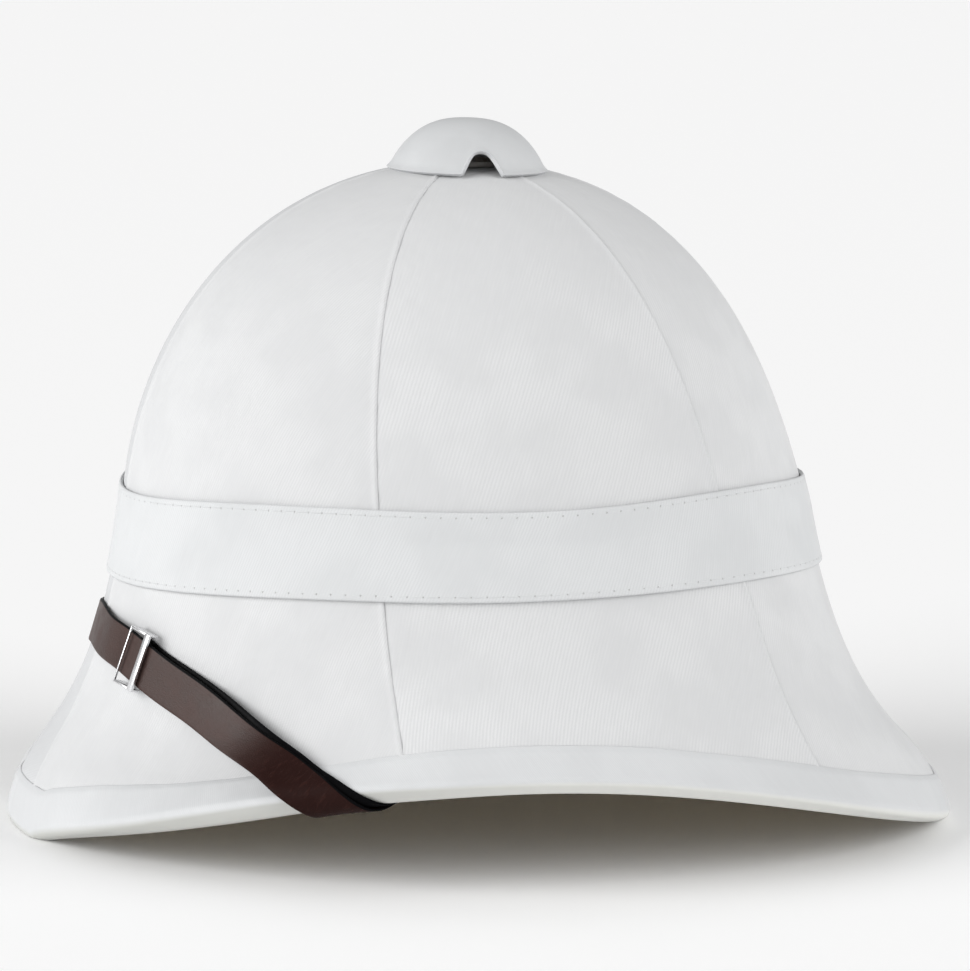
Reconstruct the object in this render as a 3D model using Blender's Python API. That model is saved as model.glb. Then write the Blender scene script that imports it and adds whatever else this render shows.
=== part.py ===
"""White pith helmet with a ventilator cap, a folded cotton band and a leather chin strap.

Frame: +Z up, the front of the helmet towards -X, the wearer's left towards -Y.
It stands on the edge of its brim at Z = 0. Sizes below are in millimetres and
angles in degrees, and to_metres() turns them into the scene's metres.
"""
import math

import bmesh
import bpy
from mathutils import Vector

MM = 0.001
GAP = 0.4                 # clearance between two pieces that lie on each other

# Walls
COVER = 1.0               # cotton cover
PITH = 4.6                # moulded pith
BAND = 1.7                # folded band, its gap to the cover included below
TAPE = 1.0                # binding tape, one layer
TAPE_GAP = 0.9            # between the binding and what it is folded over

# Height of the crown under the cap, and of the foot where the brim begins to flare
CROWN_TOP = 240.3
SHOULDER = 179.8
FOOT = 118.3

# One row for each direction. The crown's half-section runs from the top through
# (dome, CROWN_TOP) and (shoulder, SHOULDER) to (foot, FOOT), and the brim from there
# outwards by overhang to the lip, as two cubic curves. slope and drop shape the start
# of the brim, reach and rise its end. low and high are the edges of the band.
DIRECTIONS = {
    #         foot   dome  shoulder overhang slope drop  reach rise  lip   low    high
    "front": (121.5, 76.1, 118.4,   39.1,    0.11, 85.7,  4.6, 35.2, 4.6,  94.3,  125.0),
    "side":  (102.7, 67.7,  93.4,   29.0,    0.44, 23.7, 21.3, 24.4, 44.0, 101.4, 130.8),
    "back":  (129.0, 79.7, 112.3,   58.2,    0.18, 91.5, 10.7, 37.7, 5.2,  103.7, 134.2),
}
COLUMNS = ("foot", "dome", "shoulder", "overhang", "slope", "drop", "reach", "rise",
           "lip", "low", "high")
CORNERS = {               # what a direction half way to the side has beyond the blend
    #         overhang slope  drop  reach  rise
    "front": (-4.8,    -0.17, 16.2, 12.2, -15.5),
    "back":  (-0.5,     0.10, -6.2,  6.8,   1.9),
}
CORNER_COLUMNS = ("overhang", "slope", "drop", "reach", "rise")
CENTRE = 13.1             # the middle of its length lies this far behind the crown's axis
STAND = 2.25              # height, in these sizes, of the surface that it stands on
LIP_FLAT = 10.6           # the lip is level this far each side of front and back
LIP_SWEEP = {"front": 0.66, "back": 0.75}   # how it climbs from there to the sides

# The seams of the left half, at the top of the crown, at its foot and at the lip
SEAMS = {
    #              top    foot   lip
    "front":      (0.0,   0.0,   0.0),
    "side_front": (56.7,  66.1,  72.0),
    "side_back":  (115.9, 127.0, 132.7),
    "back":       (180.0, 180.0, 180.0),
}
GORE_COLUMNS = 7
CROWN_ROWS = 9
BRIM_ROWS = 6            # and two more rows under the binding
SEAM_GAP = 0.6            # between two panels of the cover

AIR_HOLE = 13.0           # radius of the hole in the crown
AIR_HOLE_SPLAY = 1.3      # its wall leans inwards by about this much
COLLAR_WALL = 1.6
COLLAR_FLANGE = 18.0
COLLAR_SEAT = 1.6
COLLAR_RISE = 1.5         # its top over the crown's
COLLAR_BAR = 4.0          # width of the bar across it, and how far under the crown it is
BAR_DEPTH = 2.0
COLLAR_PIN = 3.0
PIN_SIDES = 12
CAP_RADIUS = 28.0
CAP_HEIGHT = 18.0
CAP_WALL = 1.6
CAP_LIP = 1.0
CAP_LIP_HEIGHT = 0.7      # of the rolled lip, and where the dome rises from it
CAP_LIP_RISE = 1.9
CAP_LIP_BITE = 0.5
CAP_SWELL = 2.6           # how much the dome draws in over its first third
CAP_SHOULDER = 0.60       # the dome's control points, as parts of its radius and height
CAP_FLANK = 0.38
CAP_SEAT = 0.2
CAP_ROWS = 7
CAP_SIDES = 32
NOTCH_WIDTH = 14.6
NOTCH_HEIGHT = 9.6
NOTCH_FOOT = -3.0
NOTCH_STEPS = 8
NOTCH_POWER = 1.8         # the arch's sides fall away with this power of the distance

TAPE_FACE = 12.0          # width of the binding on each side of the brim
TAPE_ROUND = 2.4

# Chin strap: its middle line from the front of the peak to the hidden loop inside the
# rim. turn is the distance round the lip, negative on the outside of the brim.
STRAP_HALF = 7.8
STRAP_ROUTE = (
    # angle  turn
    (0.0,   -76.0),
    (9.0,   -73.0),
    (18.0,  -65.2),
    (25.0,  -54.6),
    (39.0,  -38.8),
    (51.0,  -20.2),
    (59.5,   -5.0),
    (63.8,    4.5),
    (68.0,   15.0),
    (74.5,   30.0),
    (82.0,   48.0),
    (87.5,   66.0),
)
STRAP_STEP = 8.6
STRAP_LIP_STEP = 1.9                 # step in turn where the strap goes round the lip
STRAP_LIP_FROM = 9.0                 # the short steps begin this far before the lip
STRAP_LIP_PAST = 3.0                 # and end this far past it
ROUTE_STEPS = 24                     # points of the route's curve between two rows
SLANT_FROM, SLANT_TO = -26.0, 44.0   # where its sections lie along the rim
SLANT_OVER = 20.0
LAYERS = (0.7, 2.0), (2.3, 3.6)      # lift of the two layers of leather over the helmet
SKIVED = 0.6                         # the strap's end, pared thin
CLEAR = 0.35                         # clearance between leather and metal
SLIDER_ANGLE = 20.3
SLIDER_LENGTH = 11.0
SLIDER_STRIP = 0.9
SLIDER_BROAD = 2.0                   # its rear bar is broader than the strip it is made of
SLIDER_WIDTH = 19.6
SLIDER_LIFTS = (1.6, 5.2, 6.4)       # foot of its plates, underside and top of its bars
SLIDER_PIN = 0.55                    # radius of the pin that the strap's end is folded on
SLIDER_PIN_LIFT = 2.2
LOOP_WIRE = 1.0                      # radius of the wire of the hidden loops
LOOP_LIFT = LAYERS[0][1] + CLEAR + LOOP_WIRE + 0.1
LOOP_HALF = 10.6
LOOP_CORNER = 1.2                    # rounding of its bends, and where their middle lies
LOOP_BEND = 0.3
LOOP_FOOT = 0.6
LOOP_MIDDLE = 4.0
LOOP_RISE = 24.0                     # the strap climbs to the loop over this length
STUB = 12.0                          # the sewn end, folded back over the right loop
BAR_STEPS, PIN_STEPS = 8, 6          # steps of leather round a loop and round the pin
LAYER_SHIFT = {
    # distance from the slider, how far a layer lies below the route's middle line
    "upper": ((-40.0, 0.0), (-6.0, -0.7), (6.0, 0.6), (15.0, 1.5)),
    "under": ((4.0, -0.7), (15.0, -1.5)),
}
MEET_FROM, MEET_OVER = 12.0, 30.0    # the layers come together past the lip
BRIDGE = (
    # distance from the slider, lift of the leather's middle
    (-46.0, 1.35),
    (-5.0,  3.95),
    (0.0,   4.65),
    (5.0,   4.05),
    (16.0,  2.95),
)
PARED_FROM, PARED_OVER = 4.0, 12.0   # where the strap's end is pared thin
TAIL = 3.5                           # its last length, past the slider's pin

# Colours and finishes
WHITE = (0.86, 0.87, 0.88)
TAPE_WHITE = (0.80, 0.81, 0.82)
CAP_WHITE = (0.84, 0.85, 0.86)
COLLAR_WHITE = (0.80, 0.80, 0.78)
PITH_BUFF = (0.72, 0.66, 0.52)
LEATHER = (0.10, 0.045, 0.03)
STEEL = (0.75, 0.75, 0.76)
BRASS = (0.55, 0.45, 0.25)
CLOTH_ROUGH, PAINT_ROUGH, LEATHER_ROUGH, STEEL_ROUGH, BRASS_ROUGH = 0.85, 0.6, 0.45, 0.15, 0.35

MERGE = 1e-4              # points closer than this are one
BISECTIONS = 40
RING = 24                 # sides of the small turned parts
SMOOTH_TO = 35.0          # edges sharper than this stay sharp
SMOOTH_SOFT = 50.0
BRIM_MIDDLE = 1.5         # t half way down the brim
INSIDE = 60.0             # height of a point that is inside the hollow


def cubic(p0, p1, p2, p3, t):
    s = 1.0 - t
    return s * s * s * p0 + 3 * s * s * t * p1 + 3 * s * t * t * p2 + t * t * t * p3


def value(column, angle):
    """A size of the table at an angle from the front, blended between its rows."""
    index = COLUMNS.index(column)
    c = math.cos(math.radians(angle))
    end = "front" if c > 0 else "back"
    blend = c * c * DIRECTIONS[end][index] + (1 - c * c) * DIRECTIONS["side"][index]
    if column not in CORNER_COLUMNS:
        return blend
    return blend + 4 * c * c * (1 - c * c) * CORNERS[end][CORNER_COLUMNS.index(column)]


def semi_axes(column, angle):
    index = COLUMNS.index(column)
    end = "front" if math.cos(math.radians(angle)) > 0 else "back"
    return DIRECTIONS[end][index], DIRECTIONS["side"][index]


def lip_height(angle):
    s2 = math.sin(math.radians(angle)) ** 2
    q = math.sin(math.radians(LIP_FLAT)) ** 2
    end = "front" if math.cos(math.radians(angle)) > 0 else "back"
    part = max(0.0, (s2 - q) / (1 - q)) ** LIP_SWEEP[end]
    low = DIRECTIONS[end][COLUMNS.index("lip")]
    high = DIRECTIONS["side"][COLUMNS.index("lip")]
    return low + (high - low) * part


def surface(angle, t):
    """Outside of the cover. t runs from 0 at the top to 1 at the foot and 2 at the lip."""
    c = math.cos(math.radians(angle))
    s = math.sin(math.radians(angle))
    foot_a, foot_b = semi_axes("foot", angle)
    if t <= 1.0:
        dome_a, dome_b = semi_axes("dome", angle)
        shoulder_a, shoulder_b = semi_axes("shoulder", angle)
        a = cubic(0.0, dome_a, shoulder_a, foot_a, t)
        b = cubic(0.0, dome_b, shoulder_b, foot_b, t)
        z = cubic(CROWN_TOP, CROWN_TOP, SHOULDER, FOOT, t)
        return Vector((-a * c, -b * s, z))
    v = t - 1.0
    out = Vector((-c / foot_a, -s / foot_b, 0.0)).normalized()
    drop = value("drop", angle)
    lip = lip_height(angle)
    overhang = value("overhang", angle)
    r = cubic(0.0, value("slope", angle) * drop, overhang - value("reach", angle), overhang, v)
    z = cubic(FOOT, FOOT - drop, lip + value("rise", angle), lip, v)
    return Vector((-foot_a * c, -foot_b * s, z)) + out * r


def tangents(angle, t):
    step = 0.5
    around = surface(angle + step, t) - surface(angle - step, t)
    e = 0.004
    down = surface(angle, min(t + e, 2.0)) - surface(angle, max(t - e, 0.0))
    return around.normalized(), down.normalized()


def outward(angle, t):
    """Unit normal of the cover, away from the head."""
    around, down = tangents(angle, max(t, 0.02))
    n = around.cross(down).normalized()
    p = surface(angle, t)
    if n.dot(Vector((p.x, p.y, INSIDE))) < 0:
        n = -n
    return n


def shell_point(angle, t, depth):
    """A point at a depth under the cover's outside (a negative depth is above it)."""
    return surface(angle, t) - outward(angle, t) * depth


def t_at_height(angle, z):
    low, high = 0.0, 2.0
    for _ in range(BISECTIONS):
        mid = (low + high) / 2
        if surface(angle, mid).z > z:
            low = mid
        else:
            high = mid
    return (low + high) / 2


def t_at_radius(angle, r):
    low, high = 0.0, 1.0
    for _ in range(BISECTIONS):
        mid = (low + high) / 2
        p = surface(angle, mid)
        if math.hypot(p.x, p.y) < r:
            low = mid
        else:
            high = mid
    return (low + high) / 2


def t_above_lip(angle, distance):
    """t at a distance along the cover above the lip, and past the lip where it is negative."""
    step = 0.02
    t = 2.0
    here = surface(angle, t)
    if distance < 0:
        speed = (here - surface(angle, t - step)).length / step
        return t - distance / speed
    left = distance
    while t > step:
        there = surface(angle, t - step)
        length = (there - here).length
        if length >= left:
            return t - step * left / length
        left -= length
        t -= step
        here = there
    return t


def seam_angle(seam, t):
    top, foot, lip = SEAMS[seam]
    if t <= 1.0:
        return top + (foot - top) * t
    return foot + (lip - foot) * (t - 1.0)


def rows(t_top, angle):
    """Values of t from the air hole to the lip."""
    crown = [t_top + (1.0 - t_top) * i / CROWN_ROWS for i in range(CROWN_ROWS)]
    bound = t_above_lip(angle, TAPE_FACE)
    brim = [1.0 + (bound - 1.0) * i / BRIM_ROWS for i in range(BRIM_ROWS + 1)]
    return crown + brim + [t_above_lip(angle, TAPE_FACE / 2), 2.0]


ROW_COUNT = CROWN_ROWS + BRIM_ROWS + 3


def column_angle(first, second, side, fraction, row, t_top):
    """Angle and t of a node of the panels' grid, from the two seams beside it."""
    ends = []
    for seam in (first, second):
        t = rows(t_top, seam_angle(seam, BRIM_MIDDLE))[row]
        ends.append(seam_angle(seam, t) * side)
    angle = ends[0] + (ends[1] - ends[0]) * fraction
    return angle, rows(t_top, angle)[row]


def to_metres(bm):
    for v in bm.verts:
        v.co *= MM


def finish(name, bm, colour, roughness, metallic=0.0, smooth=SMOOTH_TO):
    """Make an object of its own, with its own material, from a mesh in millimetres."""
    bmesh.ops.remove_doubles(bm, verts=bm.verts, dist=MERGE)
    bmesh.ops.recalc_face_normals(bm, faces=bm.faces)
    to_metres(bm)
    return new_object(name, bm, colour, roughness, metallic, smooth)


def new_object(name, bm, colour, roughness, metallic=0.0, smooth=SMOOTH_TO):
    mesh = bpy.data.meshes.new(name)
    bm.to_mesh(mesh)
    bm.free()
    mesh.shade_smooth()
    mesh.set_sharp_from_angle(angle=math.radians(smooth))
    obj = bpy.data.objects.new(name, mesh)
    bpy.context.collection.objects.link(obj)
    mat = bpy.data.materials.new(name)
    mat.use_nodes = True
    shader = mat.node_tree.nodes["Principled BSDF"]
    shader.inputs["Base Color"].default_value = (*colour, 1.0)
    shader.inputs["Roughness"].default_value = roughness
    shader.inputs["Metallic"].default_value = metallic
    mesh.materials.append(mat)
    return obj


def thicken(obj, wall):
    solid = obj.modifiers.new("wall", "SOLIDIFY")
    solid.thickness = wall * MM
    solid.offset = -1.0
    return solid


# ---------------------------------------------------------------- pith body and cover
def gore_fractions():
    return [i / GORE_COLUMNS for i in range(GORE_COLUMNS + 1)]


GORES = (
    # name                first seam     second seam   side
    ("cover_front_left",  "front",      "side_front", 1.0),
    ("cover_side_left",   "side_front", "side_back",  1.0),
    ("cover_back_left",   "side_back",  "back",       1.0),
    ("cover_back_right",  "back",       "side_back", -1.0),
    ("cover_side_right",  "side_back",  "side_front", -1.0),
    ("cover_front_right", "side_front", "front",      -1.0),
)


def build_body():
    """The pith body: one ring of rows from the air hole to the lip, then given its wall."""
    bm = bmesh.new()
    rings = []
    t_top = t_at_radius(90.0, AIR_HOLE + AIR_HOLE_SPLAY)
    for row in range(ROW_COUNT):
        ring = []
        for _, first, second, side in GORES:
            for f in gore_fractions()[:-1]:
                angle, t = column_angle(first, second, side, f, row, t_top)
                ring.append(bm.verts.new(shell_point(angle, t, COVER + GAP)))
        rings.append(ring)
    for upper, lower in zip(rings, rings[1:]):
        for i in range(len(upper)):
            j = (i + 1) % len(upper)
            bm.faces.new((upper[i], upper[j], lower[j], lower[i]))
    bmesh.ops.recalc_face_normals(bm, faces=bm.faces)
    obj = finish("pith_shell", bm, PITH_BUFF, CLOTH_ROUGH)
    thicken(obj, PITH)
    return obj


def build_gore(name, first, second, side):
    """One panel of the cover, as a grid bent onto the crown and the brim."""
    t_top = t_at_radius(90.0, AIR_HOLE + 1.0)
    bm = bmesh.new()
    bmesh.ops.create_grid(bm, x_segments=GORE_COLUMNS, y_segments=ROW_COUNT - 1, size=0.5)
    turning = 1.0 if seam_angle(second, 1.0) * side > seam_angle(first, 1.0) * side else -1.0
    for v in bm.verts:
        column = round((v.co.x + 0.5) * GORE_COLUMNS)
        row = round((v.co.y + 0.5) * (ROW_COUNT - 1))
        angle, t = column_angle(first, second, side, column / GORE_COLUMNS, row, t_top)
        if column in (0, GORE_COLUMNS):
            radius = math.hypot(*surface(angle, t).xy)
            inset = math.degrees(SEAM_GAP / 2 / radius) * (1.0 if column == 0 else -1.0)
            angle += inset * turning
        v.co = surface(angle, t)
    face = bm.faces[:][len(bm.faces) // 2]
    bm.normal_update()
    if face.normal.dot(face.calc_center_median() - Vector((0.0, 0.0, INSIDE))) < 0:
        bmesh.ops.reverse_faces(bm, faces=bm.faces)
    to_metres(bm)
    obj = new_object(name, bm, WHITE, CLOTH_ROUGH)
    thicken(obj, COVER)
    return obj


# ---------------------------------------------------------------- rings along the helmet
def sweep_ring(profile_at, angles):
    """A closed ring whose section is the list of points that profile_at gives for an angle."""
    bm = bmesh.new()
    sections = [[bm.verts.new(p) for p in profile_at(angle)] for angle in angles]
    for k, here in enumerate(sections):
        there = sections[(k + 1) % len(sections)]
        n = len(here)
        for i in range(n):
            j = (i + 1) % n
            corners = (here[i], here[j], there[j], there[i])
            if here[i].co.z < here[j].co.z:
                # keep its diagonal the same way round as that of the panel under it
                corners = corners[1:] + corners[:1]
            bm.faces.new(corners)
    return bm


def ring_angles(count):
    return [360.0 * i / count for i in range(count)]


def panel_angles(t):
    """Angles of the panels' columns at t, so that a ring's facets lie along theirs."""
    angles = []
    for _, first, second, side in GORES:
        a0 = seam_angle(first, t) * side
        a1 = seam_angle(second, t) * side
        if first == "back":
            a0 = 180.0
            a1 = 360.0 + a1
        elif side < 0:
            a0 += 360.0
            a1 += 360.0
        angles += [a0 + (a1 - a0) * f for f in gore_fractions()[:-1]]
    return angles


def band_profile(angle):
    low = t_at_height(angle, value("low", angle))
    high = t_at_height(angle, value("high", angle))
    middle = (low + high) / 2
    inner = [shell_point(angle, t, -GAP * 2) for t in (high, middle, low)]
    outer = [shell_point(angle, t, -GAP * 2 - BAND) for t in (low, middle, high)]
    return inner + outer


def build_band():
    bm = sweep_ring(band_profile, panel_angles(1.0))
    return finish("puggaree_band", bm, WHITE, CLOTH_ROUGH)


ROUND_STEPS = 3                              # facets of each rounded edge of the lip
TAPE_OUT = -TAPE_GAP - TAPE                        # depth of the binding's outer face
TAPE_IN = COVER + GAP + PITH + TAPE_GAP + TAPE     # and of its inner face
LIP_EDGE = -TAPE_GAP - TAPE                        # distance of its edge above the lip


LIP_STEP = 0.02                              # in t, for the direction of the brim at the lip


def lip_frame(angle):
    lip = surface(angle, 2.0)
    down = (lip - surface(angle, 2.0 - LIP_STEP)).normalized()
    n = outward(angle, 2.0)
    down = (down - n * down.dot(n)).normalized()
    return lip, down, n


def lip_point(angle, distance, depth):
    lip, down, n = lip_frame(angle)
    return lip - down * distance - n * depth


def binding_profile(angle):
    """The tape folded round the edge: outside face, rounded lip, inside face and back."""
    faces = [TAPE_FACE, TAPE_FACE / 2, 0.0]
    r = TAPE_ROUND
    points = []
    for s in faces[:2]:
        points.append(shell_point(angle, t_above_lip(angle, s), TAPE_OUT))
    for k in range(ROUND_STEPS + 1):
        f = math.pi / 2 * k / ROUND_STEPS
        points.append(lip_point(angle, LIP_EDGE + r - r * math.sin(f),
                                TAPE_OUT + r - r * math.cos(f)))
    for k in range(ROUND_STEPS + 1):
        f = math.pi / 2 * k / ROUND_STEPS
        points.append(lip_point(angle, LIP_EDGE + r - r * math.cos(f),
                                TAPE_IN - r + r * math.sin(f)))
    for s in reversed(faces[:2]):
        points.append(shell_point(angle, t_above_lip(angle, s), TAPE_IN))
    for s in faces[:2]:
        points.append(shell_point(angle, t_above_lip(angle, s), TAPE_IN - TAPE))
    points.append(lip_point(angle, LIP_EDGE + TAPE, TAPE_IN - TAPE))
    points.append(lip_point(angle, LIP_EDGE + TAPE, TAPE_OUT + TAPE))
    for s in reversed(faces[:2]):
        points.append(shell_point(angle, t_above_lip(angle, s), TAPE_OUT + TAPE))
    for p in points:
        p.z = max(p.z, STAND)
    return points


def build_binding():
    bm = sweep_ring(binding_profile, panel_angles(1.9))
    return finish("rim_binding", bm, TAPE_WHITE, CLOTH_ROUGH, smooth=SMOOTH_SOFT)


# ---------------------------------------------------------------- ventilator
def turned(points, sides):
    """A body of revolution round Z from its closed half-section, given as (radius, height)."""
    bm = bmesh.new()
    verts = [bm.verts.new((r, 0.0, z)) for r, z in points]
    edges = [bm.edges.new((verts[i], verts[(i + 1) % len(verts)])) for i in range(len(verts))]
    bmesh.ops.spin(bm, geom=verts + edges, cent=(0, 0, 0), axis=(0, 0, 1),
                   angle=2 * math.pi, steps=sides, use_merge=True)
    bmesh.ops.remove_doubles(bm, verts=bm.verts, dist=10 * MERGE)
    bmesh.ops.dissolve_degenerate(bm, dist=MERGE, edges=bm.edges)
    return bm


def cap_radius_height(t, inset):
    r = cubic(CAP_RADIUS, CAP_RADIUS - CAP_SWELL, CAP_RADIUS * CAP_SHOULDER, 0.0, t)
    z = cubic(0.0, CAP_HEIGHT * CAP_FLANK, CAP_HEIGHT, CAP_HEIGHT, t)
    return max(r - inset * (1.0 - t), 0.0), max(z - inset * t, 0.0)


def cap_base():
    """Height of the cap's rim, just clear of the cover all the way round."""
    heights = []
    for angle in ring_angles(RING):
        heights.append(surface(angle, t_at_radius(angle, CAP_RADIUS - CAP_WALL)).z)
    return max(heights) + CAP_SEAT


def build_cap():
    base = cap_base()
    steps = [i / CAP_ROWS for i in range(CAP_ROWS + 1)]
    outer = [cap_radius_height(t, 0.0) for t in steps]
    inner = [cap_radius_height(t, CAP_WALL) for t in reversed(steps)]
    profile = [(CAP_RADIUS + CAP_LIP, 0.0), (CAP_RADIUS + CAP_LIP, CAP_LIP_HEIGHT)]
    profile += [(CAP_RADIUS - CAP_LIP_BITE, CAP_LIP_RISE)] + outer[1:] + inner
    bm = turned([(r, z + base) for r, z in profile], CAP_SIDES)
    obj = finish("vent_cap", bm, CAP_WHITE, PAINT_ROUGH)

    arch = bmesh.new()
    half = NOTCH_WIDTH / 2
    outline = [(-half, NOTCH_FOOT), (half, NOTCH_FOOT)]
    for i in range(NOTCH_STEPS + 1):
        x = math.cos(math.pi * i / NOTCH_STEPS)
        outline.append((half * x, NOTCH_HEIGHT * (1.0 - abs(x) ** NOTCH_POWER)))
    verts = [arch.verts.new((x, -CAP_RADIUS * 2, z + base)) for x, z in outline]
    face = arch.faces.new(verts)
    pulled = bmesh.ops.extrude_face_region(arch, geom=[face])
    moved = [g for g in pulled["geom"] if isinstance(g, bmesh.types.BMVert)]
    bmesh.ops.translate(arch, verts=moved, vec=(0.0, CAP_RADIUS * 4, 0.0))
    cutter = finish("notch_cutter", arch, CAP_WHITE, PAINT_ROUGH)
    cutter.hide_render = True
    cutter.display_type = "WIRE"
    cut = obj.modifiers.new("notches", "BOOLEAN")
    cut.operation = "DIFFERENCE"
    cut.solver = "EXACT"
    cut.object = cutter
    return obj


def build_collar():
    """The hidden air collar: a tube in the hole, a flange inside, and the pin under the cap."""
    top = surface(0.0, t_at_radius(0.0, AIR_HOLE)).z
    under = [shell_point(angle, t_at_radius(angle, COLLAR_FLANGE), COVER + GAP + PITH).z
             for angle in ring_angles(RING)]
    inside = min(under) - COLLAR_SEAT
    outer = AIR_HOLE - GAP
    bore = outer - COLLAR_WALL
    profile = [(bore, inside - COLLAR_WALL), (COLLAR_FLANGE, inside - COLLAR_WALL),
               (COLLAR_FLANGE, inside), (outer, inside), (outer, top + COLLAR_RISE),
               (bore, top + COLLAR_RISE)]
    bm = turned(profile, RING)
    tube = finish("vent_collar", bm, COLLAR_WHITE, PAINT_ROUGH)

    bar = bmesh.new()
    bmesh.ops.create_cube(bar, size=1.0)
    for v in bar.verts:
        v.co = Vector((v.co.x * (bore * 2 + COLLAR_WALL), v.co.y * COLLAR_BAR,
                       v.co.z * BAR_DEPTH + top - BAR_DEPTH))
    bar_obj = finish("collar_bar", bar, COLLAR_WHITE, PAINT_ROUGH)
    pin = bmesh.new()
    reach = cap_base() + CAP_HEIGHT - CAP_WALL - 1.5 * GAP - (top - BAR_DEPTH)
    bmesh.ops.create_cone(pin, cap_ends=True, segments=PIN_SIDES, radius1=COLLAR_PIN,
                          radius2=COLLAR_PIN, depth=reach)
    for v in pin.verts:
        v.co.z += top - BAR_DEPTH + reach / 2
    pin_obj = finish("collar_pin", pin, COLLAR_WHITE, PAINT_ROUGH)
    for other in (bar_obj, pin_obj):
        other.hide_render = True
        other.display_type = "WIRE"
        join = tube.modifiers.new(other.name, "BOOLEAN")
        join.operation = "UNION"
        join.solver = "EXACT"
        join.object = other
    return tube


# ---------------------------------------------------------------- strap
def smooth_step(x):
    x = min(max(x, 0.0), 1.0)
    return x * x * (3.0 - 2.0 * x)


TAPE_STEP = 10.0                               # the strap climbs the binding over this length
CORNER = (TAPE_ROUND + 1.2) * math.pi / 2      # length of one rounded edge of the lip
FLAT = TAPE_IN - TAPE_OUT - 2 * TAPE_ROUND     # and of the straight part between the two


def around_lip(angle, turn, lift):
    """A point at a lift over the helmet, a distance round the lip of its brim.

    The line runs down the outside (turn < 0), round the bound edge and up the inside.
    """
    bound = LIP_EDGE + TAPE_ROUND
    if turn <= 0:
        s = bound - turn
        base = TAPE_OUT * (1.0 - smooth_step((s - TAPE_FACE) / TAPE_STEP))
        return shell_point(angle, t_above_lip(angle, s), base - lift)
    lip, down, n = lip_frame(angle)
    r = TAPE_ROUND + lift
    outer_centre = lip - down * bound - n * (TAPE_OUT + TAPE_ROUND)
    inner_centre = lip - down * bound - n * (TAPE_IN - TAPE_ROUND)
    if turn <= CORNER:
        f = turn / CORNER * math.pi / 2
        return outer_centre + n * r * math.cos(f) + down * r * math.sin(f)
    if turn <= CORNER + FLAT:
        return outer_centre.lerp(inner_centre, (turn - CORNER) / FLAT) + down * r
    if turn <= 2 * CORNER + FLAT:
        f = (turn - CORNER - FLAT) / CORNER * math.pi / 2
        return inner_centre + down * r * math.cos(f) - n * r * math.sin(f)
    s = bound + turn - 2 * CORNER - FLAT
    base = TAPE_IN - (GAP + TAPE) * smooth_step((s - TAPE_FACE) / TAPE_STEP)
    return shell_point(angle, t_above_lip(angle, s), base + lift)


def skin_axes(angle, turn, lift):
    """How a point of the skin moves for a degree of angle and for a millimetre of turn."""
    by_angle = around_lip(angle + 0.5, turn, lift) - around_lip(angle - 0.5, turn, lift)
    by_turn = around_lip(angle, turn + 0.5, lift) - around_lip(angle, turn - 0.5, lift)
    return by_angle, by_turn


def in_skin(axes, vector):
    """The angle and the turn that together make a step along a vector in the skin."""
    by_angle, by_turn = axes
    aa = by_angle.dot(by_angle)
    at = by_angle.dot(by_turn)
    tt = by_turn.dot(by_turn)
    va = vector.dot(by_angle)
    vt = vector.dot(by_turn)
    det = aa * tt - at * at
    return (va * tt - vt * at) / det, (vt * aa - va * at) / det


def skin_normal(angle, turn, lift):
    here = around_lip(angle, turn, lift)
    return (around_lip(angle, turn, lift + 0.5) - here).normalized()


def catmull(rows_, u):
    """Smooth curve through the rows, u counting rows."""
    i = min(int(u), len(rows_) - 2)
    f = u - i
    p1 = rows_[i]
    p2 = rows_[i + 1]
    p0 = rows_[i - 1] if i > 0 else (-p2[0], p2[1])
    p3 = rows_[i + 2] if i + 2 < len(rows_) else (2 * p2[0] - p1[0], 2 * p2[1] - p1[1])
    out = []
    for a, b, c, d in zip(p0, p1, p2, p3):
        out.append(0.5 * (2 * b + (c - a) * f + (2 * a - 5 * b + 4 * c - d) * f * f
                          + (3 * b - a - 3 * c + d) * f * f * f))
    return tuple(out)


def route():
    """Stations of the left half of the strap's middle line: (angle, turn, length so far)."""
    count = (len(STRAP_ROUTE) - 1) * ROUTE_STEPS
    line = [catmull(STRAP_ROUTE, k / ROUTE_STEPS) for k in range(count + 1)]
    lengths = [0.0]
    due = [0.0]
    for (a0, t0), (a1, t1) in zip(line, line[1:]):
        length = (around_lip(a1, t1, 1.0) - around_lip(a0, t0, 1.0)).length
        lengths.append(lengths[-1] + length)
        round_lip = -STRAP_LIP_FROM < t0 < 2 * CORNER + FLAT + STRAP_LIP_PAST
        due.append(due[-1] + ((t1 - t0) / STRAP_LIP_STEP if round_lip else length / STRAP_STEP))
    count = round(due[-1])
    stations = []
    k = 0
    for i in range(count + 1):
        want = due[-1] * i / count
        while k < len(due) - 2 and due[k + 1] < want:
            k += 1
        f = (want - due[k]) / max(due[k + 1] - due[k], 1e-9)
        a = line[k][0] + (line[k + 1][0] - line[k][0]) * f
        t = line[k][1] + (line[k + 1][1] - line[k][1]) * f
        stations.append((a, t, lengths[k] + (lengths[k + 1] - lengths[k]) * f))
    return stations


LEATHER_HALF = (LAYERS[0][1] - LAYERS[0][0]) / 2
INNER_LIFT = sum(LAYERS[0]) / 2
OUTER_LIFT = sum(LAYERS[1]) / 2


def heading_at(stations, i):
    """Unit direction of the route at a station, in space."""
    a0, t0, _ = stations[max(i - 1, 0)]
    a1, t1, _ = stations[min(i + 1, len(stations) - 1)]
    if i == 0:
        a0 = -a1
        t0 = t1
    return (around_lip(a1, t1, 1.0) - around_lip(a0, t0, 1.0)).normalized()


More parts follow.
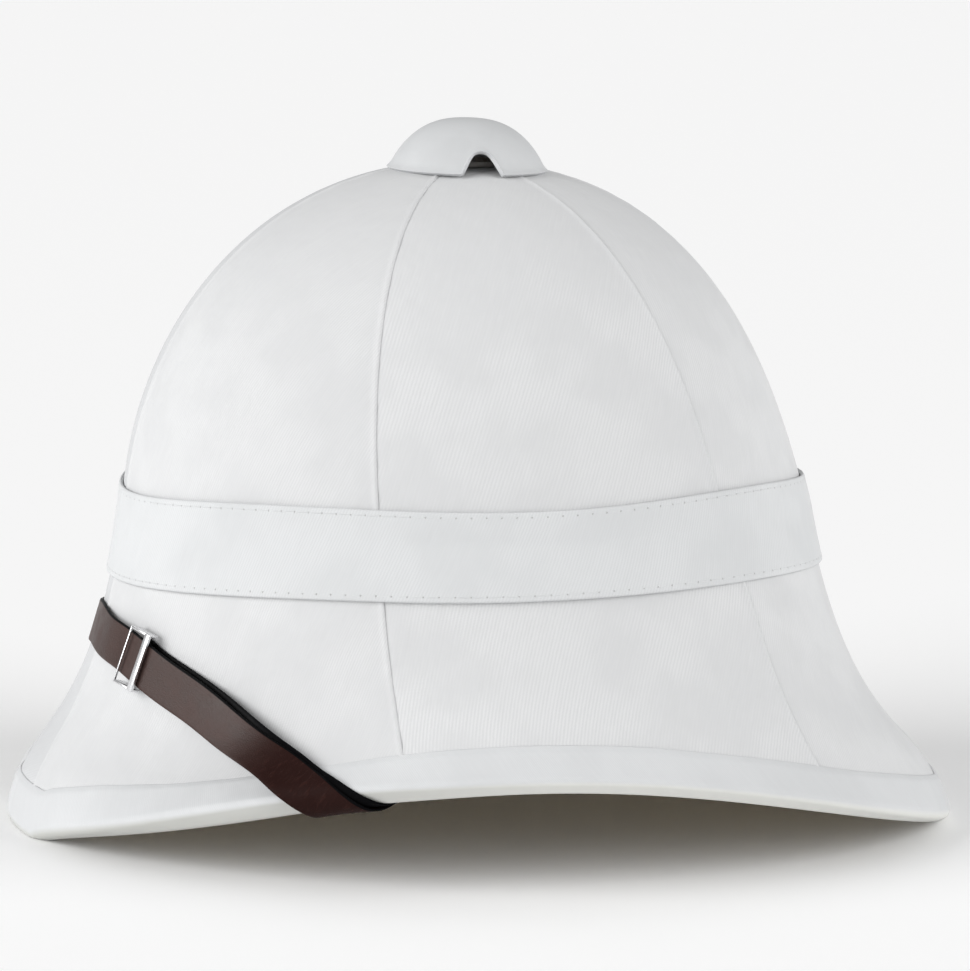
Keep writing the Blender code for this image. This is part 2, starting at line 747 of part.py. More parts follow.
def section_line(angle, turn, heading, lift, shift):
    """Angle and turn of the strap's upper edge, middle and lower edge."""
    axes = skin_axes(angle, turn, lift)
    n = skin_normal(angle, turn, lift)
    go = (heading - n * heading.dot(n)).normalized()
    across = go.cross(n)
    if across.dot(axes[1]) < 0:
        across = -across
    # near the lip the section lies along the rim, so that the leather bends round it flat
    near = (smooth_step((turn - SLANT_FROM) / SLANT_OVER)
            * smooth_step((SLANT_TO - turn) / SLANT_OVER))
    rim = axes[0].normalized()
    slant = rim.dot(go) / rim.dot(across) * near if near > 0.0 else 0.0
    line = []
    for k in (-1, 0, 1):
        da, dt = in_skin(axes, (across + go * slant) * (k * STRAP_HALF + shift))
        line.append((angle + da, turn + dt))
    return line


def station_points(angle, turn, heading, lift, half, tilt, side, shift=0.0):
    """Six points of the strap's section: its upper edge, middle and lower edge, twice.

    heading is the outbound direction, and tilt turns the leather away from it:
    0 outbound, -180 on the way back, in between round a loop.
    """
    rows_ = []
    for a, t in section_line(angle, turn, heading, lift, shift):
        n = skin_normal(a, t, lift)
        go = (heading - n * heading.dot(n)).normalized()
        rows_.append((around_lip(a, t, lift), go, n))
    middle = (rows_[0][0] + rows_[2][0]) / 2
    if (middle - rows_[1][0]).dot(rows_[1][2]) > 0:
        rows_[1] = (middle, rows_[1][1], rows_[1][2])
    tau = math.radians(tilt)
    sign = 1.0 if side > 0 else -1.0
    plus = []
    minus = []
    for p, go, n in rows_:
        h = (n * math.cos(tau) - go * math.sin(tau)) * sign * half
        for target, q in ((plus, p + h), (minus, p - h)):
            target.append(Vector((q.x, q.y * side, q.z)))
    return plus + minus[::-1]


def eased(table, x):
    """The value of a table at x, with soft steps between its rows."""
    if x <= table[0][0]:
        return table[0][1]
    for (x0, y0), (x1, y1) in zip(table, table[1:]):
        if x <= x1:
            return y0 + (y1 - y0) * smooth_step((x - x0) / (x1 - x0))
    return table[-1][1]


def layer_shift(layer, u, turn):
    return eased(LAYER_SHIFT[layer], u) * (1.0 - smooth_step((turn - MEET_FROM) / MEET_OVER))


def loop_station():
    """Where the hidden loop's bar lies: the end of the route."""
    return STRAP_ROUTE[-1]


def round_bar(lift, radius, start, stop, steps):
    """Offsets (along, lift, tilt) of the leather's middle going round a bar."""
    out = []
    for k in range(steps + 1):
        tau = start + (stop - start) * k / steps
        f = math.radians(tau)
        out.append((-radius * math.sin(f), lift + radius * math.cos(f), tau))
    return out


def strap_sections():
    """Sections of the whole strap, from its sewn end on the right to the slider's pin."""
    stations = route()
    total = stations[-1][2]
    slider = min(stations, key=lambda row: abs(row[0] - SLIDER_ANGLE))[2]
    headings = [heading_at(stations, i) for i in range(len(stations))]
    end_a, end_t = loop_station()
    up = headings[-1]
    turn_radius = LOOP_LIFT - INNER_LIFT
    bar = round_bar(LOOP_LIFT, turn_radius, 0.0, -180.0, BAR_STEPS)
    sections = []

    def along(a, t, heading, offset):
        da, dt = in_skin(skin_axes(a, t, 1.0), heading * offset)
        return a + da, t + dt

    # the right half, from the sewn end over the loop and down to the front
    for offset in (-STUB, -STUB / 2):
        a, t = along(end_a, end_t, up, offset)
        sections.append(station_points(a, t, up, LOOP_LIFT + turn_radius, LEATHER_HALF, 0.0, -1))
    for offset, lift, tau in bar:
        a, t = along(end_a, end_t, up, offset)
        sections.append(station_points(a, t, up, lift, LEATHER_HALF, tau, -1))
    for (a, t, _), heading in reversed(list(zip(stations, headings))[1:-1]):
        sections.append(station_points(a, t, heading, INNER_LIFT, LEATHER_HALF, -180.0, -1))
    # the left half, out to the loop as the upper layer
    def main_lift(length):
        u = length - slider
        if u <= BRIDGE[-1][0]:
            return eased(BRIDGE, u)
        rise = smooth_step((length - total + LOOP_RISE) / LOOP_RISE)
        return OUTER_LIFT + (LOOP_LIFT + turn_radius - OUTER_LIFT) * rise

    for (a, t, length), heading in list(zip(stations, headings))[:-1]:
        shift = layer_shift("upper", length - slider, t)
        sections.append(station_points(a, t, heading, main_lift(length), LEATHER_HALF, 0.0, 1, shift))
    for offset, lift, tau in bar:
        a, t = along(end_a, end_t, up, offset)
        sections.append(station_points(a, t, up, lift, LEATHER_HALF, tau, 1))
    # and back beside the helmet's skin as the lower layer, to the slider's pin
    pin_radius = SLIDER_PIN + CLEAR + SKIVED / 2
    pared = SLIDER_PIN_LIFT - pin_radius
    for (a, t, length), heading in reversed(list(zip(stations, headings))[1:-1]):
        u = length - slider
        if u < PARED_FROM:
            break
        thin = 1.0 - smooth_step((u - PARED_FROM) / PARED_OVER)
        half = LEATHER_HALF + (SKIVED / 2 - LEATHER_HALF) * thin
        lift = INNER_LIFT + (pared - INNER_LIFT) * thin
        shift = layer_shift("under", u, t)
        sections.append(station_points(a, t, heading, lift, half, -180.0, 1, shift))
    at = [row for row in zip(stations, headings) if row[0][2] == slider][0]
    (a0, t0, _), heading = at
    shift = LAYER_SHIFT["under"][0][1]
    for offset, lift, tau in round_bar(SLIDER_PIN_LIFT, pin_radius, -180.0, -360.0, PIN_STEPS):
        a, t = along(a0, t0, heading, offset)
        sections.append(station_points(a, t, heading, lift, SKIVED / 2, tau, 1, shift))
    a, t = along(a0, t0, heading, TAIL)
    lift = SLIDER_PIN_LIFT + pin_radius
    sections.append(station_points(a, t, heading, lift, SKIVED / 2, -360.0, 1, shift))
    return sections, at


def build_strap():
    sections, _ = strap_sections()
    bm = bmesh.new()
    rings = [[bm.verts.new(p) for p in section] for section in sections]
    for here, there in zip(rings, rings[1:]):
        n = len(here)
        for i in range(n):
            j = (i + 1) % n
            bm.faces.new((here[i], here[j], there[j], there[i]))
    for ring, order in ((rings[0], 1), (rings[-1], -1)):
        a, b, c, d, e, f = ring[::order]
        bm.faces.new((a, b, e, f))
        bm.faces.new((b, c, d, e))
    return finish("chin_strap", bm, LEATHER, LEATHER_ROUGH, smooth=SMOOTH_SOFT)


def cells(us, vs, ns, filled):
    """A solid of boxes on three lists of cuts; filled holds the (i, j, k) of its boxes."""
    bm = bmesh.new()
    corner = {}

    def vert(i, j, k):
        if (i, j, k) not in corner:
            corner[(i, j, k)] = bm.verts.new((us[i], vs[j], ns[k]))
        return corner[(i, j, k)]

    sides = (
        ((1, 0, 0), ((1, 0, 0), (1, 1, 0), (1, 1, 1), (1, 0, 1))),
        ((-1, 0, 0), ((0, 0, 0), (0, 0, 1), (0, 1, 1), (0, 1, 0))),
        ((0, 1, 0), ((0, 1, 0), (0, 1, 1), (1, 1, 1), (1, 1, 0))),
        ((0, -1, 0), ((0, 0, 0), (1, 0, 0), (1, 0, 1), (0, 0, 1))),
        ((0, 0, 1), ((0, 0, 1), (1, 0, 1), (1, 1, 1), (0, 1, 1))),
        ((0, 0, -1), ((0, 0, 0), (0, 1, 0), (1, 1, 0), (1, 0, 0))),
    )
    for i, j, k in sorted(filled):
        for (a, b, c), face in sides:
            if (i + a, j + b, k + c) not in filled:
                bm.faces.new([vert(i + x, j + y, k + z) for x, y, z in face])
    return bm


def place(bm, origin, along, across, n):
    for v in bm.verts:
        v.co = origin + along * v.co.x + across * v.co.y + n * v.co.z


def build_slider():
    """The flat steel loop on the strap: two outer bars, two plates, and the pin under the strap."""
    _, ((angle, turn, _), heading) = strap_sections()
    ring = station_points(angle, turn, heading, 0.0, 0.0, 0.0, 1)
    origin = ring[1]
    across = (ring[2] - ring[0]).normalized()
    along = (heading - across * heading.dot(across)).normalized()
    n = along.cross(across)
    if n.dot(Vector((origin.x, origin.y, 0.0))) < 0:
        n = -n
    half_u = SLIDER_LENGTH / 2
    half_v = SLIDER_WIDTH / 2
    strip = SLIDER_STRIP
    us = (-half_u, -half_u + strip, half_u - SLIDER_BROAD, half_u)
    vs = (-half_v, -half_v + strip, half_v - strip, half_v)
    filled = set()
    for i in range(3):
        for j in range(3):
            if j != 1:
                filled.add((i, j, 0))
            if j != 1 or i != 1:
                filled.add((i, j, 1))
    bm = cells(us, vs, SLIDER_LIFTS, filled)
    place(bm, origin, along, across, n)
    frame = finish("strap_slider", bm, STEEL, STEEL_ROUGH, 1.0)
    pin = bmesh.new()
    bmesh.ops.create_cone(pin, cap_ends=True, segments=PIN_SIDES, radius1=SLIDER_PIN, radius2=SLIDER_PIN,
                          depth=SLIDER_WIDTH - strip)
    for v in pin.verts:
        v.co = Vector((v.co.x, v.co.z, v.co.y + SLIDER_PIN_LIFT))
    place(pin, origin, along, across, n)
    pin_obj = finish("slider_pin", pin, STEEL, STEEL_ROUGH, 1.0)
    pin_obj.hide_render = True
    pin_obj.display_type = "WIRE"
    join = frame.modifiers.new("pin", "BOOLEAN")
    join.operation = "UNION"
    join.solver = "EXACT"
    join.object = pin_obj
    return frame


def build_loop(name, side):
    """A hidden wire loop inside the helmet, its two ends on the pith."""
    angle, turn = loop_station()
    stations = route()
    axes = skin_axes(angle, turn, LOOP_LIFT)
    n = skin_normal(angle, turn, LOOP_LIFT)
    across = heading_at(stations, len(stations) - 1).cross(n).normalized()
    bend = LOOP_CORNER * LOOP_BEND
    path = [(-LOOP_HALF, LOOP_FOOT), (-LOOP_HALF, LOOP_LIFT - LOOP_CORNER)]
    path += [(-LOOP_HALF + bend, LOOP_LIFT - bend), (-LOOP_HALF + LOOP_CORNER, LOOP_LIFT)]
    path += [(x, LOOP_LIFT) for x in (-LOOP_MIDDLE, 0.0, LOOP_MIDDLE)]
    path += [(-x, lift) for x, lift in reversed(path[:4])]
    curve = bpy.data.curves.new(name, "CURVE")
    curve.dimensions = "3D"
    curve.fill_mode = "FULL"
    curve.use_fill_caps = True
    curve.bevel_depth = LOOP_WIRE * MM
    curve.bevel_resolution = 2
    spline = curve.splines.new("POLY")
    spline.points.add(len(path) - 1)
    for point, (x, lift) in zip(spline.points, path):
        da, dt = in_skin(axes, across * x)
        p = around_lip(angle + da, turn + dt, lift)
        point.co = (p.x * MM, p.y * side * MM, p.z * MM, 1.0)
    mat = bpy.data.materials.new(name)
    mat.use_nodes = True
    shader = mat.node_tree.nodes["Principled BSDF"]
    shader.inputs["Base Color"].default_value = (*BRASS, 1.0)
    shader.inputs["Roughness"].default_value = BRASS_ROUGH
    shader.inputs["Metallic"].default_value = 1.0
    curve.materials.append(mat)
    obj = bpy.data.objects.new(name, curve)
    bpy.context.collection.objects.link(obj)
    return obj


def main():
    for obj in list(bpy.data.objects):
        bpy.data.objects.remove(obj, do_unlink=True)
    build_body()
    for name, first, second, side in GORES:
        build_gore(name, first, second, side)
    build_band()
    build_binding()
    build_cap()
    build_collar()
    build_strap()
    build_slider()
    build_loop("strap_loop_left", 1.0)
    build_loop("strap_loop_right", -1.0)
    helmet = bpy.data.objects.new("helmet", None)
    bpy.context.collection.objects.link(helmet)
    for obj in list(bpy.data.objects):
        if obj is not helmet:
            obj.parent = helmet
    helmet.location = (-CENTRE * MM, 0.0, -STAND * MM)


if __name__ == "__main__":
    main()
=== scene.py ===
"""White pith helmet: cotton gores, folded band, bound brim, ventilator cap and leather chin strap.

Sizes are in millimetres and angles in degrees, measured from the front of the helmet towards
the wearer's left. in_place() turns them into the frame's metres. Each piece follows the same
curves as the solids, with the detail that cloth, leather and metal show close up.
"""

import math

import bmesh
import bpy
import numpy as np
from mathutils import Matrix, Vector


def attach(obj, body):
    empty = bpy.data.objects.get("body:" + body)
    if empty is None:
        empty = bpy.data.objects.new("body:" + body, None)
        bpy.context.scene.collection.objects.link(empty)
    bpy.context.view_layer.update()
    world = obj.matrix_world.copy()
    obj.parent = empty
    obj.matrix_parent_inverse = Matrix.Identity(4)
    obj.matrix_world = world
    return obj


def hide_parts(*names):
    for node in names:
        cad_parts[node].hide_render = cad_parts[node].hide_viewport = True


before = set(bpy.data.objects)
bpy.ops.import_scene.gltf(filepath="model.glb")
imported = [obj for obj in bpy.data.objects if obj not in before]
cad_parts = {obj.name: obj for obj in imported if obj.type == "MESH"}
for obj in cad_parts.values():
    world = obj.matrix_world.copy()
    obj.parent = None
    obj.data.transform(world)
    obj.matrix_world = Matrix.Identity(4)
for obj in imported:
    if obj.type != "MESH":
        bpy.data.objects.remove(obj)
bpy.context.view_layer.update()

MM = 0.001
FULL = 360.0

# ---- form of the helmet
CROWN_TOP, SHOULDER, FOOT = 240.3, 179.8, 118.3
CENTRE, STAND = 13.1, 2.25  # the frame's origin lies this far behind and above the one used here
SIZES = {  # at the front, the side and the back; lip and band as heights, the slope as a share
    "foot": (121.5, 102.7, 129.0),
    "dome": (76.1, 67.7, 79.7),
    "shoulder": (118.4, 93.4, 112.3),
    "overhang": (39.1, 29.0, 58.2),
    "slope": (0.11, 0.44, 0.18),
    "drop": (85.7, 23.7, 91.5),
    "reach": (4.6, 21.3, 10.7),
    "rise": (35.2, 24.4, 37.7),
    "lip": (4.6, 44.0, 5.2),
    "band's top": (125.0, 130.8, 134.2),
    "band's foot": (94.3, 101.4, 103.7),
}
CORNERS = {  # what is added halfway from the front to the side, and from the back to the side
    "overhang": (-4.8, -0.5),
    "slope": (-0.17, 0.10),
    "drop": (16.2, -6.2),
    "reach": (12.2, 6.8),
    "rise": (-15.5, 1.9),
}
LIP_FLAT = 10.6  # so far from the front and the back the lip stays level
LIP_SWEEP = 0.66, 0.75
SEAMS = {  # at the top, the crown's foot and the lip
    "front": (0.0, 1.0, 7.5),
    "side_front": (56.7, 66.1, 72.0),
    "side_back": (115.9, 127.0, 132.7),
    "back": (180.0, 180.0, 180.0),
}
GORES = (
    # name, first and second seam, side, which edges lie over their neighbour
    ("front_left", "front", "side_front", 1.0, (True, True)),
    ("side_left", "side_front", "side_back", 1.0, (False, True)),
    ("back_left", "side_back", "back", 1.0, (False, True)),
    ("back_right", "back", "side_back", -1.0, (False, False)),
    ("side_right", "side_back", "side_front", -1.0, (True, False)),
    ("front_right", "side_front", "front", -1.0, (True, False)),
)
COVER, GAP, PITH, TAPE, TAPE_GAP = 1.0, 0.4, 4.6, 1.0, 0.9
AIR_HOLE, AIR_HOLE_SPLAY = 13.0, 1.3
INSIDE = np.array((0.0, 0.0, 60.0))


def cubic(p0, p1, p2, p3, t):
    s = 1.0 - t
    return s * s * s * p0 + 3 * s * s * t * p1 + 3 * s * t * t * p2 + t * t * t * p3


def smooth_step(x):
    x = np.clip(x, 0.0, 1.0)
    return x * x * (3.0 - 2.0 * x)


def swell(x, width):
    """1 where x is 0, and next to nothing at twice the width."""
    return np.exp(-(x / width) ** 2)


def between(pair, share):
    return pair[0] + (pair[1] - pair[0]) * share


def close_at_ends(steps):
    """Shares from 0 to 1 that lie closer together near both ends."""
    return 0.5 - 0.5 * np.cos(np.linspace(0.0, math.pi, steps + 1))


def run_along(points):
    """Length of a line, from its first point to each of them."""
    steps = np.linalg.norm(np.diff(points, axis=0), axis=1)
    return np.concatenate([[0.0], np.cumsum(steps)])


def unit(v):
    return v / np.maximum(np.linalg.norm(v, axis=-1, keepdims=True), 1e-12)


def dot(a, b):
    return np.sum(a * b, axis=-1)


def from_front(angle):
    """How far round from the front an angle lies, on either side."""
    return np.abs((angle + 180.0) % FULL - 180.0)


def pick(sizes, cosine):
    """The front's or the back's size, whichever an angle's cosine belongs to."""
    return np.where(cosine > 0, sizes[0], sizes[-1])


def size_at(name, angle):
    c = np.cos(np.radians(angle))
    sizes = SIZES[name]
    size = c * c * pick(sizes, c) + (1 - c * c) * sizes[1]
    if name in CORNERS:
        size = size + 4 * c * c * (1 - c * c) * pick(CORNERS[name], c)
    return size


def lip_height(angle):
    c = np.cos(np.radians(angle))
    q = math.sin(math.radians(LIP_FLAT)) ** 2
    share = np.clip((1 - c * c - q) / (1 - q), 0.0, 1.0) ** pick(LIP_SWEEP, c)
    return between((pick(SIZES["lip"], c), SIZES["lip"][1]), share)


def surface(angle, t):
    """Outside of the cover: t runs from 0 at the top to 1 at the crown's foot and 2 at the lip."""
    angle, t = np.broadcast_arrays(np.asarray(angle, float), np.asarray(t, float))
    c, s = np.cos(np.radians(angle)), np.sin(np.radians(angle))
    plan = [SIZES[name] for name in ("dome", "shoulder", "foot")]
    foot_a, foot_b = pick(SIZES["foot"], c), SIZES["foot"][1]
    u = np.clip(t, 0.0, 1.0)
    a = cubic(0.0, *(pick(sizes, c) for sizes in plan), u)
    b = cubic(0.0, *(sizes[1] for sizes in plan), u)
    crown = np.stack([-a * c, -b * s, cubic(CROWN_TOP, CROWN_TOP, SHOULDER, FOOT, u)], -1)
    v = np.clip(t - 1.0, 0.0, None)
    ox, oy = -c / foot_a, -s / foot_b
    n = np.hypot(ox, oy)
    drop, lip, over = size_at("drop", angle), lip_height(angle), size_at("overhang", angle)
    r = cubic(0.0, size_at("slope", angle) * drop, over - size_at("reach", angle), over, v)
    z = cubic(FOOT, FOOT - drop, lip + size_at("rise", angle), lip, v)
    brim = np.stack([-foot_a * c + ox / n * r, -foot_b * s + oy / n * r, z], -1)
    return np.where((t <= 1.0)[..., None], crown, brim)


def outward(angle, t):
    """The way out of the cover, square to it."""
    t = np.maximum(t, 0.02)
    around = surface(angle + 0.5, t) - surface(angle - 0.5, t)
    down = surface(angle, np.minimum(t + 0.004, 2.0)) - surface(angle, t - 0.004)
    return unit(np.cross(down, around))


def shell_point(angle, t, depth):
    """A point at a depth under the cover's outside; a negative depth is above it."""
    return surface(angle, t) - outward(angle, t) * np.asarray(depth, float)[..., None]


TABLE_ANGLES = np.arange(FULL)  # the two tables below have a row for each degree
DISTANCES = np.arange(0.0, 150.0, 0.75)  # up the cover from the lip
HEIGHTS = np.arange(80.0, 150.0, 0.5)


def table_of(grid, measure):
    """t at each angle where a measure of the cover reaches each value of a grid."""
    t = np.linspace(0.3, 2.0, 500)
    measured = (measure(surface(angle, t)) for angle in TABLE_ANGLES)
    return np.array([np.interp(grid, x[::-1], t[::-1]) for x in measured])


T_OF_DISTANCE = table_of(DISTANCES, lambda p: run_along(p[::-1])[::-1])
T_OF_HEIGHT = table_of(HEIGHTS, lambda p: p[:, 2])


def look_up(table, grid, angle, x):
    i = np.asarray(angle, float) % FULL
    i0 = np.floor(i).astype(int)
    f = i - i0
    i0 = i0 % len(TABLE_ANGLES)
    j = np.clip((x - grid[0]) / (grid[1] - grid[0]), 0.0, len(grid) - 1.001)
    j0 = j.astype(int)
    g = j - j0
    low, high = (table[row, j0] * (1 - g) + table[row, j0 + 1] * g
                 for row in (i0, (i0 + 1) % len(TABLE_ANGLES)))
    return low * (1 - f) + high * f


def t_above_lip(angle, distance):
    return look_up(T_OF_DISTANCE, DISTANCES, angle, distance)


def t_at_height(angle, z):
    return look_up(T_OF_HEIGHT, HEIGHTS, angle, z)


def t_at_radius(angle, r):
    t = np.linspace(0.0, 1.0, 400)
    p = surface(angle, t)
    return float(np.interp(r, np.hypot(p[:, 0], p[:, 1]), t))


def seam_angle(seam, t):
    top, foot, lip = SEAMS[seam]
    return np.where(t <= 1.0, top + (foot - top) * t, foot + (lip - foot) * (t - 1.0))


# ---- mesh helpers
def in_place(points):
    """From millimetres on the crown's axis to metres in the frame."""
    return (points - np.array((CENTRE, 0.0, STAND))) * MM


def wobble(seed, *coordinates):
    """Smooth unevenness between -1 and 1, the same on every run."""
    rng = np.random.default_rng(seed)
    total = 0.0
    for _ in range(5):
        phase = rng.uniform(0, 2 * math.pi)
        for x in coordinates:
            phase = phase + x * rng.uniform(0.35, 1.6) * rng.choice((-1.0, 1.0))
        total = total + np.sin(phase)
    return total / 5.0


def sheet_of(name, across, down, place, pattern, closed=(False, False), marks=None):
    """A grid of cloth, leather or tape. place(i, j) gives its points, pattern(i, j) its UVs, and
    marks holds what else its finish reads at each point."""
    bm = bmesh.new()
    bmesh.ops.create_grid(bm, x_segments=across, y_segments=down, size=0.5)
    bm.verts.ensure_lookup_table()
    co = np.array([v.co for v in bm.verts])
    i = np.rint((co[:, 0] + 0.5) * across).astype(int)
    j = np.rint((co[:, 1] + 0.5) * down).astype(int)
    grid = np.empty((across + 1, down + 1, 3))
    grid[i, j] = place(i, j)
    if closed[0]:  # the last line of the grid is the first one again
        grid[-1] = grid[0]
    if closed[1]:
        grid[:, -1] = grid[:, 0]
    for v, p in zip(bm.verts, in_place(grid[i, j])):
        v.co = p
    for mark, value_at in (marks or {}).items():
        layer = bm.verts.layers.float.new(mark)
        for v, value in zip(bm.verts, value_at(i, j)):
            v[layer] = value
    layer = bm.loops.layers.uv.new("pattern")
    uv = pattern(i, j)
    for face in bm.faces:
        for loop in face.loops:
            loop[layer].uv = uv[loop.vert.index]
    if any(closed):
        bmesh.ops.remove_doubles(bm, verts=bm.verts, dist=2e-6)
    bmesh.ops.recalc_face_normals(bm, faces=bm.faces)
    if all(closed):
        inside_out = bm.calc_volume(signed=True) < 0
    else:
        bm.normal_update()
        bm.faces.ensure_lookup_table()
        middle = bm.faces[len(bm.faces) // 2]
        off = middle.calc_center_median() - Vector(in_place(INSIDE))
        inside_out = middle.normal.dot(off) < 0
    if inside_out:
        bmesh.ops.reverse_faces(bm, faces=bm.faces)
    return show(name, bm)


def add(name, data):
    obj = bpy.data.objects.new(name, data)
    bpy.context.collection.objects.link(obj)
    return obj


def show(name, bm, smooth=60.0):
    mesh = bpy.data.meshes.new(name)
    bm.to_mesh(mesh)
    bm.free()
    mesh.shade_smooth()
    mesh.set_sharp_from_angle(angle=math.radians(smooth))
    return add(name, mesh)


def wall(obj, thickness):
    solid = obj.modifiers.new("wall", "SOLIDIFY")
    solid.thickness = thickness * MM
    solid.offset = -1.0
    return obj


def dress(obj, material, slot, *nodes):
    """Gives a piece its finish, lets it ride on the helmet and stand for its solids."""
    obj.data.materials.clear()
    obj.data.materials.append(material)
    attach(obj, "root")
    if nodes:
        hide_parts(*nodes)


# ---- finishes
class Finish:
    """Lays out a material's nodes. In a socket's name an underscore stands for a space."""

    def __init__(self, name, colour, roughness, **sockets):
        self.material = bpy.data.materials.new(name)
        self.material.use_nodes = True
        self.tree = self.material.node_tree
        self.shader = self.tree.nodes["Principled BSDF"]
        self.shade(Base_Color=colour, Roughness=roughness, **sockets)

    def shade(self, **sockets):
        for name, x in sockets.items():
            if x is not None:
                self.feed(self.shader.inputs[name.replace("_", " ")], x)

    def done(self, colour=None, roughness=None, normal=None):
        self.shade(Base_Color=colour, Roughness=roughness, Normal=normal)
        return self.material

    def feed(self, socket, x):
        """Sets a socket, or links it to the output that gives its value."""
        if isinstance(x, bpy.types.NodeSocket):
            self.tree.links.new(x, socket)
        else:
            socket.default_value = (*x, 1.0) if socket.type == "RGBA" else x

    def node(self, kind, output=0, **settings):
        """Adds a node, sets it up and gives one of its outputs."""
        made = self.tree.nodes.new(kind)
        for key, x in settings.items():
            socket = made.inputs.get(key.replace("_", " "))
            if socket is None:
                setattr(made, key, x)
            else:
                self.feed(socket, x)
        return made.outputs[output]

    def uv(self):
        return self.node("ShaderNodeUVMap", uv_map="pattern")

    def place(self):
        return self.node("ShaderNodeTexCoord", "Object")

    def mark(self, name):
        return self.node("ShaderNodeAttribute", "Fac", attribute_name=name)

    def parts(self, vector):
        return self.node("ShaderNodeSeparateXYZ", Vector=vector).node.outputs

    def turned(self, vector, angle=0.0, scale=(1.0, 1.0, 1.0)):
        return self.node("ShaderNodeMapping", Vector=vector, Scale=scale,
                         Rotation=(0.0, 0.0, math.radians(angle)))

    def noise(self, vector, scale, detail=2.0, roughness=0.5):
        return self.node("ShaderNodeTexNoise", "Fac", Vector=vector, Scale=scale, Detail=detail,
                         Roughness=roughness)

    def wave(self, vector, pitch, uneven=0.0):
        """Ribs of a pitch, in the units of the vector."""
        return self.node("ShaderNodeTexWave", "Fac", Vector=vector, Scale=math.pi / 10.0 / pitch,
                         Distortion=uneven, Detail=2.0, Detail_Scale=1.5)

    def cells(self, vector, scale, feature="F1"):
        return self.node("ShaderNodeTexVoronoi", "Distance", Vector=vector, Scale=scale,
                         feature=feature)

    def math(self, operation, *terms):
        made = self.tree.nodes.new("ShaderNodeMath")
        made.operation = operation
        for socket, x in zip(made.inputs, terms):
            self.feed(socket, x)
        return made.outputs[0]

    def sum(self, *terms):
        """Two terms added up, each times its share."""
        return self.math("ADD", *(self.math("MULTIPLY", x, share) for x, share in terms))

    def spread(self, source, low, high, to_low=0.0, to_high=1.0):
        return self.node("ShaderNodeMapRange", "Result", interpolation_type="SMOOTHSTEP",
                         Value=source, From_Min=low, From_Max=high, To_Min=to_low, To_Max=to_high)

    def ramp(self, source, *stops):
        made = self.node("ShaderNodeValToRGB", "Color", Fac=source)
        for stop, (at, colour) in zip(made.node.color_ramp.elements, stops):
            stop.position = at
            stop.color = (*colour, 1.0)
        return made

    def mix(self, share, a, b):
        made = self.tree.nodes.new("ShaderNodeMix")
        made.data_type = "RGBA"
        for socket, x in ((0, share), (6, a), (7, b)):
            self.feed(made.inputs[socket], x)
        return made.outputs[2]

    def bump(self, height, distance, **under):
        return self.node("ShaderNodeBump", Strength=1.0, Distance=distance * MM, Height=height,
                         **under)


COTTON = (0.640, 0.644, 0.648)
# the darker tone: painted shade in the weave's valleys, also used for random mottling
COTTON_SHADE_AND_MOTTLE = (0.570, 0.574, 0.579)
# specks in the cloth, and the painted shade in needle holes
FLECK_AND_HOLE_SHADE = (0.30, 0.29, 0.27)


def twill(name, tilt=68.0, pitch=1.0, relief=0.056, stitched=None, flecks=True,
          tone=COTTON, valley_shade_and_mottle=COTTON_SHADE_AND_MOTTLE, painted_underside_shade_and_light=None):
    """White cotton twill: ribs at a tilt from level, the finer weave along them, slubs, a slight
    unevenness, and painted shade in the weave's low parts."""
    f = Finish(name, tone, 0.88, Sheen_Weight=0.05, Sheen_Roughness=0.5, Specular_IOR_Level=0.25)
    uv = f.uv()
    along = f.turned(uv, 90.0 - tilt)
    ribs = f.wave(along, pitch, uneven=0.7)
    weave = f.wave(f.turned(uv, -tilt), pitch * 0.55, uneven=0.5)
    slub = f.noise(f.turned(along, scale=(1.0, 0.10, 1.0)), 0.9, detail=3.0, roughness=0.6)
    place = f.place()
    x, _, z = f.parts(place)
    patches = f.math("MULTIPLY", f.spread(f.noise(uv, 0.030), 0.35, 0.65, 0.15, 1.0),
                     f.spread(z, 0.17, 0.225, 1.0, 0.15))
    height = f.math("MULTIPLY", f.sum((ribs, 0.75), (weave, 0.25)), patches)
    height = f.math("ADD", height, f.math("MULTIPLY", slub, 0.6))
    # painted shade: the weave's low parts are coloured darker
    colour = f.mix(f.spread(height, 0.10, 1.15), valley_shade_and_mottle, tone)
    worn = f.spread(f.noise(place, 14.0, detail=3.0), 0.35, 0.70, 0.0, 0.16)
    colour = f.mix(worn, colour, valley_shade_and_mottle)
    if flecks:
        dots = f.cells(f.turned(uv, scale=(0.013, 0.013, 1.0)), 1.0)
        colour = f.mix(f.spread(dots, 0.0018, 0.0045, 1.0, 0.0), colour, FLECK_AND_HOLE_SHADE)
    # painted shade and light on the tape's downward-facing part: darker towards the front, lighter
    # than the tape towards the back
    if painted_underside_shade_and_light is not None:
        colour = f.mix(f.mark("beneath"), colour, f.mix(f.spread(x, -0.10, 0.0), *painted_underside_shade_and_light))
    normal = f.bump(height, relief)
    normal = f.bump(f.noise(uv, 0.05), 0.9, Normal=normal)
    if stitched is not None:
        holes, shade = needle_holes(f, uv, stitched)
        # painted shade in the needle holes
        colour = f.mix(shade, colour, FLECK_AND_HOLE_SHADE)
        normal = f.bump(holes, 0.25, Normal=normal)
    return f.done(colour, None, normal)


STITCH_PITCH = 5.0
HOLE_RADIUS = 0.30


